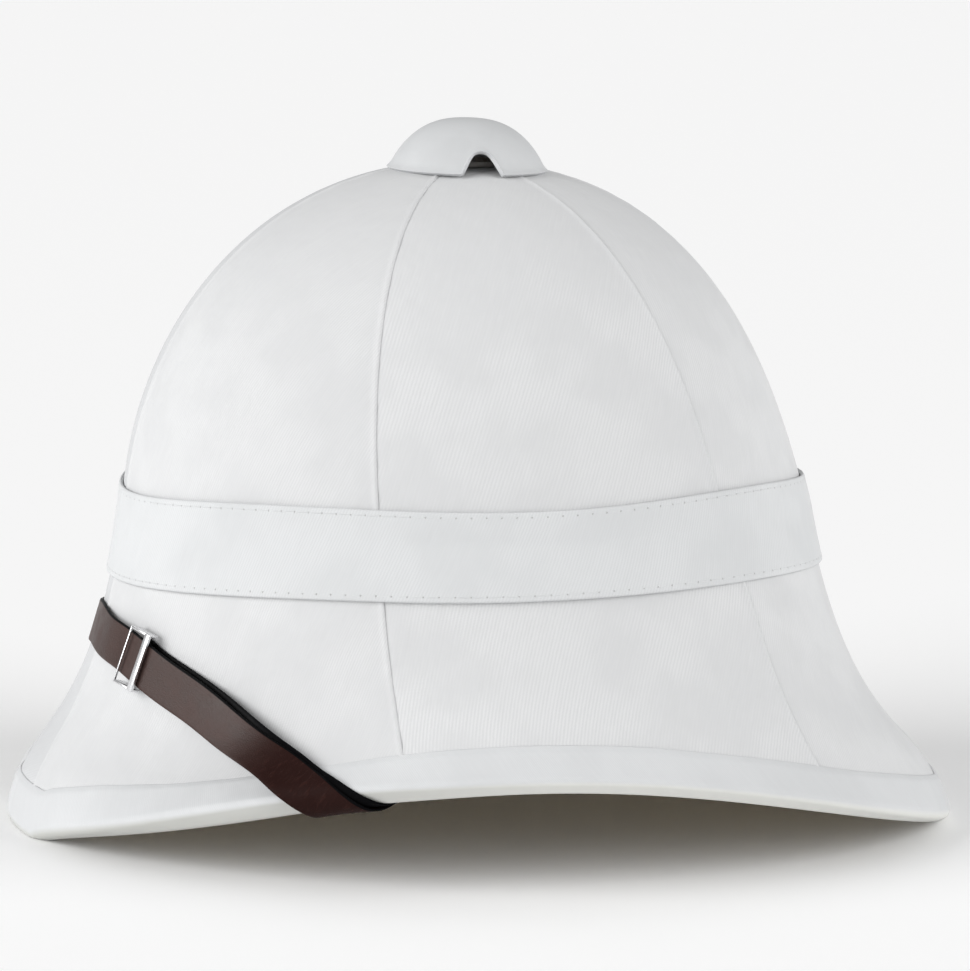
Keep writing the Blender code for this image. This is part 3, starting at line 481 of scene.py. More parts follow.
def needle_holes(f, uv, lines):
    """Needle holes at a pitch along two lines of the pattern, as a height and a share of shade."""
    x, y, _ = f.parts(uv)
    along = f.math("PINGPONG", x, STITCH_PITCH / 2)
    off = f.math("MINIMUM", *(f.math("ABSOLUTE", f.math("SUBTRACT", y, line)) for line in lines))
    far = f.math("SQRT", f.math("ADD", *(f.math("MULTIPLY", d, d) for d in (along, off))))
    return (f.spread(far, 0.0, HOLE_RADIUS * 1.6),
            f.spread(far, HOLE_RADIUS * 0.4, HOLE_RADIUS, 0.5, 0.0))


def thread():
    f = Finish("sewing_thread", (0.62, 0.63, 0.635), 0.8)
    twist = f.wave(f.turned(f.place(), 40.0, (1000.0, 1000.0, 1000.0)), 0.25)
    # painted shade: the twist's grooves are coloured darker
    colour = f.mix(twist, (0.56, 0.57, 0.575), (0.64, 0.65, 0.655))
    return f.done(colour, None, f.bump(twist, 0.03))


def pressed_pith():
    """Layers of pale pith, pressed over a block: long soft fibres and small pores."""
    f = Finish("pressed_pith", (0.62, 0.54, 0.40), 0.93)
    uv = f.uv()
    fibre = f.noise(f.turned(uv, 8.0, (0.25, 1.6, 1.0)), 1.0, detail=4.0, roughness=0.65)
    patch = f.noise(f.place(), 22.0, detail=3.0)
    colour = f.ramp(fibre, (0.3, (0.50, 0.42, 0.29)), (0.7, (0.70, 0.62, 0.47)))
    colour = f.mix(f.spread(patch, 0.4, 0.7, 0.0, 0.4), colour, (0.58, 0.48, 0.33))
    height = f.sum((fibre, 0.7), (f.cells(uv, 0.7), 0.3))
    return f.done(colour, None, f.bump(height, 0.35))


def white_paint(name, tone, roughness):
    """Satin paint on pressed metal, with a faint orange peel and slight grime."""
    f = Finish(name, tone, roughness, Coat_Weight=0.08, Coat_Roughness=0.35,
               Specular_IOR_Level=0.35)
    place = f.place()
    peel = f.noise(place, 900.0)
    cloud = f.noise(place, 55.0, detail=3.0)
    grime = tuple(x * 0.90 for x in tone)
    colour = f.mix(f.spread(cloud, 0.4, 0.75, 0.0, 0.55), tone, grime)
    rough = f.spread(cloud, 0.2, 0.8, roughness - 0.06, roughness + 0.08)
    return f.done(colour, rough, f.bump(peel, 0.035))


LEATHER = (0.054, 0.0300, 0.0255)
LEATHER_DARK = (0.038, 0.021, 0.017)
LEATHER_BEND_SHADE = (0.014, 0.0042, 0.0036)
LEATHER_CREASE = (0.060, 0.024, 0.019)
# black of the inked edges, also painted as shade over the under layer's face
INK_AND_SHADE_BLACK = (0.004, 0.004, 0.0045)


def strap_leather():
    """Brown strap leather: fine grain, pores, creases where it bends, inked black edges, and
    painted shade: black over the under layer's face and darker round the brim's edge.
    """
    f = Finish("strap_leather", LEATHER, 0.42)
    uv, bend, edge = f.uv(), f.mark("bend"), f.mark("edge")
    grain = f.cells(uv, 1.9)
    crackle = f.cells(f.turned(uv, scale=(0.55, 1.0, 1.0)), 1.5, feature="DISTANCE_TO_EDGE")
    cloud = f.noise(uv, 0.11, detail=4.0, roughness=0.6)
    streak = f.noise(f.turned(uv, scale=(0.10, 1.0, 1.0)), 1.3, detail=3.0)
    colour = f.ramp(cloud, (0.30, LEATHER_DARK), (0.62, LEATHER))
    colour = f.mix(f.spread(streak, 0.45, 0.75, 0.0, 0.35), colour, LEATHER_DARK)
    # painted shade: darker where the strap rolls round and under the brim's edge
    colour = f.mix(f.math("MULTIPLY", bend, 0.85), colour, LEATHER_BEND_SHADE)
    crease = f.noise(f.turned(uv, 8.0, (1.0, 0.30, 1.0)), 0.75, detail=3.0, roughness=0.6)
    crease = f.math("MULTIPLY", f.spread(crease, 0.50, 0.72), bend)
    colour = f.mix(f.math("MULTIPLY", crease, 0.25), colour, LEATHER_CREASE)
    # inked black edges, and painted shade: black over most of the under layer's face
    colour = f.mix(f.spread(edge, 0.35, 0.65), colour, INK_AND_SHADE_BLACK)
    rough = f.spread(cloud, 0.25, 0.75, 0.36, 0.50)
    normal = f.bump(f.sum((grain, 0.5), (crackle, 0.9)), 0.10)
    normal = f.bump(crease, 0.14, Normal=normal)
    f.shade(Specular_IOR_Level=f.math("MULTIPLY", f.spread(edge, 0.35, 0.65, 0.24, 0.05),
                                      f.spread(bend, 0.0, 1.0, 1.0, 0.15)))
    return f.done(colour, rough, normal)


def polished_steel():
    f = Finish("polished_steel", (0.76, 0.76, 0.77), 0.26, Metallic=1.0)
    place = f.turned(f.place(), 31.0, (1.0, 14.0, 14.0))
    scratch = f.noise(place, 420.0, detail=3.0, roughness=0.7)
    return f.done(None, f.spread(scratch, 0.3, 0.8, 0.20, 0.36), f.bump(scratch, 0.012))


def wire_brass():
    f = Finish("wire_brass", (0.55, 0.41, 0.20), 0.34, Metallic=1.0)
    cloud = f.noise(f.place(), 260.0, detail=3.0)
    colour = f.mix(f.spread(cloud, 0.35, 0.7), (0.58, 0.44, 0.22), (0.36, 0.26, 0.13))
    return f.done(colour, f.spread(cloud, 0.3, 0.75, 0.26, 0.5), f.bump(cloud, 0.02))


# ---- cotton gores
GORE_ACROSS, GORE_DOWN = 64, 180
CLOTH_END = 1.985  # where the cloth and the pith end, inside the binding
LAP = {True: 0.35, False: 0.90}  # over or under its neighbour, past the seam's line
RIDGE, RIDGE_WIDTH = 0.62, 1.3  # the turned edge lifts the cloth beside a seam
CURL, CURL_WIDTH = 0.42, 0.45  # and its fold rolls down to the neighbour
SUNK = {"side_back": 0.36}  # the edge that lies underneath is drawn down
SUNK_ELSEWHERE, SUNK_WIDTH = 0.08, 0.9
PUCKER, PUCKER_WIDTH = 0.15, 5.0
SLACK = 0.22  # unevenness of the cloth over the pith


def lines_down(hole, steps):
    """t of even steps from a hole's edge down to the cloth's end."""
    return np.linspace(t_at_radius(90.0, hole), CLOTH_END, steps + 1)


def gore(name, first, second, side, over):
    """A cotton panel, turned under, lapped and puckered along its seams."""
    t_lines = lines_down(AIR_HOLE + 1.0, GORE_DOWN)
    ends = [seam_angle(seam, t_lines) * (1.0 if seam == "front" else side)
            for seam in (first, second)]
    spine = surface((ends[0] + ends[1]) / 2, t_lines)
    run_down = run_along(spine)
    widths = np.abs(np.radians(ends[1] - ends[0]) * np.hypot(spine[:, 0], spine[:, 1]))
    share = close_at_ends(GORE_ACROSS)

    def at(i, j):
        lap = [np.minimum(LAP[which] / widths[j], 0.1) for which in over]
        s = -lap[0] + (1 + lap[0] + lap[1]) * share[i]
        return between((ends[0][j], ends[1][j]), s), s, widths[j]

    def place(i, j):
        angle, s, width = at(i, j)
        down = run_down[j]
        lift = SLACK * wobble(3, down / 26.0, angle / 13.0)
        edges = zip(over, (s * width, (1 - s) * width), (first, second))
        for k, (lies_over, off, seam) in enumerate(edges):
            past = np.maximum(off, 0.0)
            fine = 0.5 * wobble(13 + k, down / 0.9, angle / 60.0)
            pull = wobble(11 + k, down / 2.4, angle / 40.0) + fine
            lift = lift + PUCKER * pull * swell(past, PUCKER_WIDTH)
            if lies_over:
                curl = swell(np.maximum(off + LAP[True], 0.0), CURL_WIDTH)
                lift = lift + RIDGE * swell(past, RIDGE_WIDTH) - CURL * curl
            else:
                lift = lift - SUNK.get(seam, SUNK_ELSEWHERE) * swell(past, SUNK_WIDTH)
        return shell_point(angle, t_lines[j], -lift)

    def pattern(i, j):
        _, s, width = at(i, j)
        return np.stack([(s - 0.5) * width, -run_down[j]], -1)

    piece = sheet_of("cotton_" + name, GORE_ACROSS, GORE_DOWN, place, pattern)
    return wall(piece, COVER - 0.1)


# ---- pith body
PITH_AROUND, PITH_DOWN = 180, 90
PITH_GRAIN = 4.0, -2.6  # of its pattern, to a step round and a step down


def pith_body():
    t_lines = lines_down(AIR_HOLE + AIR_HOLE_SPLAY, PITH_DOWN)

    def place(i, j):
        return shell_point(FULL * i / PITH_AROUND, t_lines[j], COVER + GAP)

    def pattern(i, j):
        return np.stack([i, j], -1) * PITH_GRAIN

    piece = sheet_of("pressed_pith_body", PITH_AROUND, PITH_DOWN, place, pattern, (True, False))
    return wall(piece, PITH)


# ---- folded band
BAND_LIFT, BAND_THICK, BAND_WIDTH = 0.30, 1.60, 30.2
BAND_WAVES = (  # added to the heights of its upper and lower edge, in waves round the helmet
    (-1.05, -2.12), (0.77, 0.52), (-1.20, -1.49), (0.91, 0.81), (-1.46, -0.93))
BAND_FOLD, BAND_ACROSS, BAND_BACK, BAND_AROUND = 5, 14, 6, 300  # steps of its grid
BAND_SWAY, BAND_GIVE = 0.22, 0.12  # unevenness of its edges and of its face
HEM = 1.9  # stitches lie this far inside its edges
STITCH_LINES = HEM / BAND_WIDTH, 1 - HEM / BAND_WIDTH
STITCH_LENGTH, STITCH_RADIUS = 3.9, 0.17
STITCH_DIP, DIP_WIDTH = 0.20, 0.9
BACK_OF_PATTERN = 50.0  # the band's back lies this far off its front in the pattern


def band_section():
    """(share down the band, lift) round its closed section, from the upper fold."""
    reach = BAND_THICK / 2 / BAND_WIDTH
    f = np.linspace(-math.pi / 2, math.pi / 2, BAND_FOLD + 1)  # from inside to outside
    front, back = (reach + (1 - 2 * reach) * np.arange(1, steps) / steps
                   for steps in (BAND_ACROSS, BAND_BACK))
    share = (reach - reach * np.cos(f), front, 1 - reach + reach * np.cos(f), back[::-1])
    lift = (np.sin(f), np.ones(len(front)), np.sin(f[::-1]), -np.ones(len(back)))
    return np.concatenate(share), BAND_LIFT + BAND_THICK / 2 * (1 + np.concatenate(lift))


def band_point(angle, share, lift):
    edges = [size_at(name, angle) for name in ("band's top", "band's foot")]
    for count, heights in enumerate(BAND_WAVES):
        swing = np.cos(np.radians(angle) * count)
        edges = [edge + height * swing for edge, height in zip(edges, heights)]
    z = between(edges, share) + BAND_SWAY * wobble(21, angle / 6.5) * (0.4 + share)
    return shell_point(angle, t_at_height(angle, z), -lift)


def stitch_dip(share, lift):
    """The stitches draw the band down a little along both its edges."""
    dip = sum(STITCH_DIP * swell((share - line) * BAND_WIDTH, DIP_WIDTH) for line in STITCH_LINES)
    return np.where(lift > BAND_LIFT + BAND_THICK * 0.7, dip, 0.0)


def girth_of_band():
    """Length of the band's middle line, rounded to whole stitches."""
    p = band_point(np.linspace(0.0, FULL, 361), 0.5, BAND_LIFT + BAND_THICK)
    return round(run_along(p)[-1] / STITCH_PITCH) * STITCH_PITCH


def folded_band():
    shares, lifts = band_section()
    count = len(shares)
    girth = girth_of_band()

    def place(i, j):
        share, lift = shares[i % count], lifts[i % count]
        angle = FULL * j / BAND_AROUND
        give = BAND_GIVE * wobble(22, angle / 9.0, share * 3.0) * (lift > BAND_LIFT + 0.5)
        return band_point(angle, share, lift + give - stitch_dip(share, lift))

    def pattern(i, j):
        back = lifts[i % count] < BAND_LIFT + BAND_THICK / 2
        return np.stack([girth * j / BAND_AROUND,
                         -shares[i % count] * BAND_WIDTH - BACK_OF_PATTERN * back], -1)

    return sheet_of("folded_cotton_band", count, BAND_AROUND, place, pattern, (True, True))


def band_stitches():
    """One short thread between every two needle holes, along both edges of the band."""
    count = round(girth_of_band() / STITCH_PITCH)
    lift = BAND_LIFT + BAND_THICK - STITCH_DIP + STITCH_RADIUS * 0.35
    size = Vector((STITCH_LENGTH / 2, STITCH_RADIUS, STITCH_RADIUS)) * MM
    bm = bmesh.new()
    for line in STITCH_LINES:
        for k in range(count):
            angle = FULL / count * (k + np.array((0.2, 0.5, 0.8)))
            p = in_place(band_point(angle, line, lift))
            turn = Vector(p[2] - p[0]).normalized().to_track_quat("X", "Z")
            made = bmesh.ops.create_uvsphere(bm, u_segments=6, v_segments=6, radius=1.0)
            bmesh.ops.transform(bm, verts=made["verts"],
                                matrix=Matrix.LocRotScale(Vector(p[1]), turn, size))
    return show("band_stitches", bm)


# ---- bound edge
TAPE_FACE, TAPE_ROUND = 12.0, 2.4  # of the skin that the strap lies on, as is the next line
TAPE_OUT, TAPE_IN = -1.2, COVER + GAP + PITH + TAPE_GAP + TAPE
EDGE_OUT, EDGE_IN = -1.10, 7.90  # the cloth tape, drawn close over the edge
EDGE_FALL = -2.6, -4.0  # its lowest point past the lip, at the sides and at both ends
EDGE_ROUND = 2.2, 4.3  # the fold is tighter at the sides
FACE = 15.2, 12.1, 13.6  # its breadth at the front, the side and the back
STRAP_AT, STRAP_BREADTH = 62.0, 10.0  # where the strap goes round and presses on it
STRAP_RAISES, STRAP_DENTS = 1.1, 0.25
TAPE_CLOTH = 0.55
TAPE_LENGTH = 960.0  # in its pattern
BIND_AROUND = 400
HUG, HUG_WIDTH = 0.80, 1.3  # its edges are sewn down
TAPE_STITCH, SEAM_DEPTH, SEAM_WIDTH = 1.7, 0.16, 0.55  # its seam, this far below its edges
FACE_SWAY, TAPE_WAVES = 0.35, 0.14  # unevenness of its edges and of its face


def lip_frame(angle):
    lip = surface(angle, 2.0)
    down = unit(lip - surface(angle, 1.98))
    n = outward(angle, 2.0)
    down = unit(down - n * dot(down, n)[..., None])
    return lip, down, n


def lip_point(angle, distance, depth):
    lip, down, n = lip_frame(angle)
    return lip - down * distance[..., None] - n * depth[..., None]


def tape_section():
    """The tape's section, once round. Each point has its kind, its side (1 inside) and three
    numbers. On a face they are the distance from the upper edge and a share of the way from
    there to the fold. In the bend, the last two are parts of the fold's radius, down and in."""
    lines = (TAPE_CLOTH / 2, 0.7, 1.3, 1.7, 2.1, 2.7, 3.6, 4.8)
    points = []
    for side in (0.0, 1.0):  # outside down to the fold, then up the inside
        part = [("face", side, d, 0.0, 0.0) for d in lines]
        part += [("face", side, lines[-1], k, 0.0) for k in np.linspace(0.0, 1.0, 7)[1:]]
        part += [("bend", side, 0.0, math.sin(f), 1.0 - math.cos(f))
                 for f in np.radians(np.linspace(10.0, 90.0, 9))]
        points += part if side == 0.0 else part[::-1]
    lining = ((0.0, 0.0, 0.0), (3.0, 0.0, 0.0), (0.0, 0.5, 0.0), (0.0, 1.0, 1.0))
    points += [("lining", 1.0, *p) for p in lining] + [("lining", 0.0, *p) for p in lining[::-1]]
    return np.array([p[0] for p in points]), np.array([p[1:] for p in points])


def bound_edge():
    """Bias tape folded round the edge of the brim, eased and slightly uneven."""
    kinds, table = tape_section()
    count = len(kinds)

    def place(i, j):
        bend, lining = kinds[i % count] == "bend", kinds[i % count] == "lining"
        side, down, part, sunk = table[i % count].T
        angle = FULL * j / BIND_AROUND
        c = np.cos(np.radians(angle))
        at_end = np.abs(c) ** 4
        face = between((FACE[1], pick(FACE, c)), at_end) + FACE_SWAY * wobble(31, angle / 5.0)
        r = between(EDGE_ROUND, at_end)
        pressed = swell(from_front(angle) - STRAP_AT, STRAP_BREADTH)
        fall = between(EDGE_FALL, np.abs(c) ** 2.5) + STRAP_RAISES * pressed
        centre = fall + r
        s = np.select([bend, lining & (part > 0.6), lining & (part > 0.4)],
                      [centre - r * part, fall + TAPE_CLOTH, centre],
                      face - down - part * (face - down - centre))
        hug = HUG * swell(face - s, HUG_WIDTH)
        inward = np.select([bend, lining & (sunk > 0.5), lining],
                           [r * sunk, r, hug + TAPE_CLOTH], hug)
        seam = SEAM_DEPTH * swell(face - s - TAPE_STITCH, SEAM_WIDTH)
        upper = np.clip((s - 2.0) / 10.0, 0.0, 1.0)
        inward = inward + seam - TAPE_WAVES * wobble(32, angle / 2.3, s / 14.0) * upper
        depth = np.where(side > 0.5, EDGE_IN - inward, EDGE_OUT + inward + STRAP_DENTS * pressed)
        p = between((shell_point(angle, t_above_lip(angle, s), depth), lip_point(angle, s, depth)),
                    smooth_step((7.0 - s) / 5.0)[:, None])
        p[:, 2] = np.maximum(p[:, 2], STAND)
        return p

    face, r = FACE[1], EDGE_ROUND[0]
    side, down, part, sunk = table.T
    drop = np.select([kinds == "bend", kinds == "lining"], [face - r + r * part, face * part],
                     down + part * (face - r - down))
    depth = np.where(side > 0.5, EDGE_IN - r * sunk, EDGE_OUT + r * sunk)
    section_run = run_along(np.stack([drop, depth], -1))

    def pattern(i, j):
        return np.stack([TAPE_LENGTH * j / BIND_AROUND, section_run[i % count]], -1)

    piece = sheet_of("brim_binding", count, BIND_AROUND, place, pattern, (True, True))
    # marks the tape's downward-facing part, for the painted shade and light in its finish
    beneath = piece.data.attributes.new("beneath", "FLOAT", "POINT")
    for vert, share in zip(piece.data.vertices, beneath.data):
        share.value = min(max((0.10 - vert.normal.z) / 0.55, 0.0), 1.0)
    return piece


# ---- ventilator cap
CAP_RADIUS, CAP_HEIGHT, CAP_WALL = 28.0, 18.0, 1.5
CAP_SEAT = 0.2
CAP_AROUND, CAP_UP = 192, 44
NOTCH_AT = 88.0
NOTCH_HALF, NOTCH_HEIGHT, NOTCH_POWER = 7.4, 7.9, 2.8
LIP_FLARE, FLARE_HEIGHT = 1.0, 1.1


def ventilator_cap():
    """Dome pressed from sheet, its rim rolled out a little and arched up at both notches."""
    seats = [surface(a, t_at_radius(a, CAP_RADIUS - 1.6))[2] for a in range(0, 360, 15)]
    u = 1.0 - (1.0 - np.linspace(0.0, 1.0, 800)) ** 4
    r = CAP_RADIUS * (1.0 - u ** 1.2) ** 0.38
    z = CAP_HEIGHT * u
    arc = run_along(np.stack([r, z], -1))
    lines_up = 0.55 * close_at_ends(CAP_UP) + 0.45 * np.linspace(0.0, 1.0, CAP_UP + 1) ** 1.25

    def place(i, j):
        angle = FULL * i / CAP_AROUND
        off = np.abs(from_front(angle) - NOTCH_AT)
        x = np.clip(np.radians(off) * CAP_RADIUS / NOTCH_HALF, 0.0, 1.0)
        rise = NOTCH_HEIGHT * (1 - x ** NOTCH_POWER)
        start = np.interp(rise, z, arc)
        s = between((start, arc[-1]), lines_up[j])
        edge = np.exp(-((s - start) / FLARE_HEIGHT) ** 1.4)
        radius = np.interp(s, arc, r) + LIP_FLARE * edge * (1 - 0.45 * np.clip(rise / 3.0, 0, 1))
        radius = np.where(j == CAP_UP, 0.0, radius)
        c, n = np.cos(np.radians(angle)), np.sin(np.radians(angle))
        height = max(seats) + CAP_SEAT + np.interp(s, arc, z)
        return np.stack([-radius * c, -radius * n, height], -1)

    def pattern(i, j):
        return np.stack([i * 0.9, j * 0.8], -1)

    piece = sheet_of("ventilator_dome", CAP_AROUND, CAP_UP, place, pattern, (True, False))
    wall(piece, CAP_WALL)
    soft = piece.modifiers.new("soft edge", "BEVEL")
    soft.width = 0.35 * MM
    soft.segments = 2
    soft.limit_method = "ANGLE"
    soft.angle_limit = math.radians(55)
    return piece


# ---- chin strap
STRAP_HALF = 7.8
STRAP_ROUTE = np.array((  # angle and turn, which is how far past the start of the brim's edge
    (0.0, -76.0), (9.0, -73.0), (18.0, -65.2), (25.0, -56.2), (39.0, -38.9), (50.4, -17.7),
    (58.0, -1.3), (61.8, 7.0), (65.7, 16.5), (73.0, 30.5), (81.5, 47.3), (87.5, 65.3)))
LAYERS = (0.4, 1.4), (1.75, 2.75)
SKIVED, CLEAR = 0.6, 0.35
SLIDER_ANGLE = 20.3
SLIDER_PIN, SLIDER_PIN_LIFT = 0.55, 2.2
LOOP_LIFT = 3.45
STUB = 12.0
LEATHER_HALF = (LAYERS[0][1] - LAYERS[0][0]) / 2
INNER_LIFT, OUTER_LIFT = (sum(layer) / 2 for layer in LAYERS)
BRIDGE = ((-46.0, INNER_LIFT), (-5.0, 3.95), (0.0, 4.65), (5.0, 4.05), (16.0, OUTER_LIFT))
UPPER_SHIFT = ((-40.0, 0.0), (-6.0, -0.7), (6.0, 0.2), (20.0, 0.5), (60.0, 1.1))
UNDER_SHIFT = ((4.0, -0.6), (22.0, -0.4), (60.0, -1.0))
MEET_FROM, MEET_OVER = 12.0, 30.0
RISE_OVER = 24.0  # the outer layer's last stretch before the loop
SKIVE_FROM, SKIVE_OVER = 4.0, 12.0  # where the under layer thins towards the pin
BEND_FROM, BEND_TO = (-34.0, 26.0), (60.0, 10.0)  # turn and reach of where its bend sets in, ends
CORNER = (TAPE_ROUND + 1.2) * math.pi / 2
FLAT = TAPE_IN - TAPE_OUT - 2 * TAPE_ROUND
BOUND = TAPE_ROUND - TAPE_GAP - TAPE
EDGE_TURN = 2 * CORNER + FLAT  # where the inside of the brim begins
HALF_ACROSS = (0.2, 0.4, 0.56, 0.72, 0.86, 0.95, 0.985, 1.0)
ACROSS = np.array([-x for x in HALF_ACROSS[::-1]] + [0.0] + list(HALF_ACROSS))
MIDDLE = len(HALF_ACROSS)
ROUND_ACROSS = np.concatenate([ACROSS, ACROSS[-2:0:-1]])
STEP, STEP_AT_EDGE = 2.2, 0.8  # between its stations
PULLS = 3000  # rounds of drawing the strap taut
EVEN_EDGE, EVEN_OPEN = 3.6, 9.0  # reach of the leather's evening-out
IRONED = 4.5  # and of its last one, when it is drawn taut


def eased(table, x):
    """The value of a table at x, with soft steps between its rows."""
    y = np.full(np.shape(x), table[0][1])
    for (x0, y0), (x1, y1) in zip(table, table[1:]):
        y = np.where(x > x0, y0 + (y1 - y0) * smooth_step((x - x0) / (x1 - x0)), y)
    return y


def layer_shift(table, u, turn):
    """How far a layer lies below the middle line; both come together past the lip."""
    return eased(table, u) * (1.0 - smooth_step((turn - MEET_FROM) / MEET_OVER))


def around_lip(angle, turn, lift):
    """A point at a lift over the helmet, a distance round the lip of its brim."""
    angle, turn, lift = (np.asarray(x, float) for x in np.broadcast_arrays(angle, turn, lift))
    s = BOUND - np.minimum(turn, 0.0)
    base = TAPE_OUT * (1.0 - smooth_step((s - TAPE_FACE) / 10.0))
    outside = shell_point(angle, t_above_lip(angle, s), base - lift)
    lip, down, n = lip_frame(angle)
    r = (TAPE_ROUND + lift)[..., None]
    outer, inner = (lip - down * BOUND - n * depth
                    for depth in (TAPE_OUT + TAPE_ROUND, TAPE_IN - TAPE_ROUND))
    at = turn[..., None]
    f = at / CORNER * math.pi / 2
    first = outer + n * r * np.cos(f) + down * r * np.sin(f)
    under = between((outer, inner), np.clip((at - CORNER) / FLAT, 0.0, 1.0)) + down * r
    f = (at - CORNER - FLAT) / CORNER * math.pi / 2
    second = inner + down * r * np.cos(f) - n * r * np.sin(f)
    s = BOUND + np.maximum(turn - EDGE_TURN, 0.0)
    base = TAPE_IN - (GAP + TAPE) * smooth_step((s - TAPE_FACE) / 10.0)
    inside = shell_point(angle, t_above_lip(angle, s), base + lift)
    return np.select([at <= 0, at <= CORNER, at <= CORNER + FLAT, at <= EDGE_TURN],
                     [outside, first, under, second], inside)


def skin_axes(angle, turn, lift):
    by_angle = around_lip(angle + 0.5, turn, lift) - around_lip(angle - 0.5, turn, lift)
    by_turn = around_lip(angle, turn + 0.5, lift) - around_lip(angle, turn - 0.5, lift)
    return by_angle, by_turn


def in_skin(axes, vector):
    a, t = axes
    aa, at, tt = dot(a, a), dot(a, t), dot(t, t)
    va, vt = dot(vector, a), dot(vector, t)
    det = aa * tt - at * at
    return (va * tt - vt * at) / det, (vt * aa - va * at) / det


def skin_normal(angle, turn, lift):
    return unit(around_lip(angle, turn, lift + 0.5) - around_lip(angle, turn, lift))


def catmull(u):
    """The route's smooth line, u counting its rows."""
    p = np.vstack([STRAP_ROUTE[1] * (-1, 1), STRAP_ROUTE, 2 * STRAP_ROUTE[-1] - STRAP_ROUTE[-2]])
    i = np.minimum(u.astype(int), len(STRAP_ROUTE) - 2)
    f = (u - i)[:, None]
    a, b, c, d = (p[i + k] for k in range(4))
    return 0.5 * (2 * b + (c - a) * f + (2 * a - 5 * b + 4 * c - d) * f * f
                  + (3 * b - a - 3 * c + d) * f * f * f)


def route():
    """Stations of the left half of the strap's middle line: angle, turn, length so far."""
    angle, turn = catmull(np.linspace(0.0, len(STRAP_ROUTE) - 1, 600)).T
    lengths = run_along(around_lip(angle, turn, 1.0))
    near = (turn[:-1] > -9.0) & (turn[:-1] < EDGE_TURN + 3.0)
    due = np.where(near, np.diff(turn) / STEP_AT_EDGE, np.diff(lengths) / STEP)
    due = np.concatenate([[0.0], np.cumsum(due)])
    want = np.linspace(0.0, due[-1], int(round(due[-1])) + 1)
    return tuple(np.interp(want, due, x) for x in (angle, turn, lengths))


def headings(angle, turn):
    """The way the strap goes on at each station; the one before the first is the second's
    mirror image."""
    p = around_lip(np.append(-angle[1], angle), np.append(turn[1], turn), 1.0)
    return unit(np.vstack([p[2:] - p[:-2], p[-1:] - p[-2:-1]]))


def walk_across(angle, turn, lift, way, distance):
    """Goes a distance over the skin, straight on; gives the new place and the way from there."""
    n = skin_normal(angle, turn, lift)
    way = unit(way - n * dot(way, n)[:, None])
    da, dt = in_skin(skin_axes(angle, turn, lift), way)
    return angle + da * distance, turn + dt * distance, way


def stations(angle, turn, heading, lift, half, tilt, side, shift=0.0):
    """Sections of leather: middle points, half thicknesses and skin normals across the strap."""
    angle, turn, lift, half, tilt, shift = (np.broadcast_to(np.asarray(x, float), np.shape(angle))
                                            for x in (angle, turn, lift, half, tilt, shift))
    n = skin_normal(angle, turn, lift)
    go = unit(heading - n * dot(heading, n)[:, None])
    start = walk_across(angle, turn, lift, np.cross(go, n), shift)
    columns = {MIDDLE: start}
    for step in (-1, 1):
        at = start
        for k in range(MIDDLE + step, MIDDLE + step * (MIDDLE + 1), step):
            at = walk_across(*at[:2], lift, at[2], (ACROSS[k] - ACROSS[k - step]) * STRAP_HALF)
            columns[k] = at
    a, t = (np.stack([columns[k][part] for k in range(len(ACROSS))], axis=1) for part in (0, 1))
    p = around_lip(a, t, lift[:, None])
    nn = skin_normal(a, t, lift[:, None])
    flat = between((p[:, :1], p[:, -1:]), ((ACROSS + 1) / 2)[None, :, None])
    p = np.where((dot(flat - p, nn) > 0)[..., None], flat, p)
    g = unit(heading[:, None, :] - nn * dot(heading[:, None, :], nn)[..., None])
    tau = np.radians(tilt)[:, None, None]
    edge = np.clip(np.abs(ACROSS) - 0.93, 0, 1) / 0.07
    thick = half[:, None] * np.sqrt(np.clip(1 - edge ** 2, 0, 1))
    h = (nn * np.cos(tau) - g * np.sin(tau)) * thick[..., None] * side
    out = np.stack([p, h, nn])
    out[..., 1] *= side
    return out


def averaged(part, reach):
    """Each section made the mean of those near it, less what one such pass takes off a bend."""
    run = run_along(part[0].mean(axis=1))
    reach = np.minimum(reach, np.minimum(run, run[-1] - run) / 2.5) + 0.05
    weight = swell(run[:, None] - run[None, :], math.sqrt(2) * reach[:, None])
    weight = weight * np.gradient(run)[None, :]
    weight = weight / weight.sum(axis=1, keepdims=True)
    even = np.einsum("ij,njkx->nikx", weight, part)
    return even + np.einsum("ij,njkx->nikx", weight, part - even)


def evened(part, turn):
    """Evens the leather out along its length: widely in the open, little round the brim's edge."""
    open_side = smooth_step((-turn - 8.0) / 16.0) + smooth_step((turn - EDGE_TURN - 4.0) / 14.0)
    return averaged(part, between((EVEN_EDGE, EVEN_OPEN), open_side))


def draw_taut(middles, normals, last=0.0):
    """Lifts the leather off the hollows that it spans, evens it out once more, and gives it with
    its lift. Up to the evening-out it never sinks below where it lay."""
    lift = np.zeros(middles.shape[:2])
    lift[-1] = last
    for _ in range(PULLS):
        p = middles + normals * lift[..., None]
        pull = dot((p[2:] + p[:-2]) / 2 - p[1:-1], normals[1:-1])
        lift[1:-1] = np.maximum(lift[1:-1] + pull, 0.0)
        lift[1:-1] = lift[1:-1].mean(axis=1, keepdims=True) * 0.5 + lift[1:-1] * 0.5
    taut = middles + normals * lift[..., None]
    return averaged(taut[None], IRONED)[0], lift


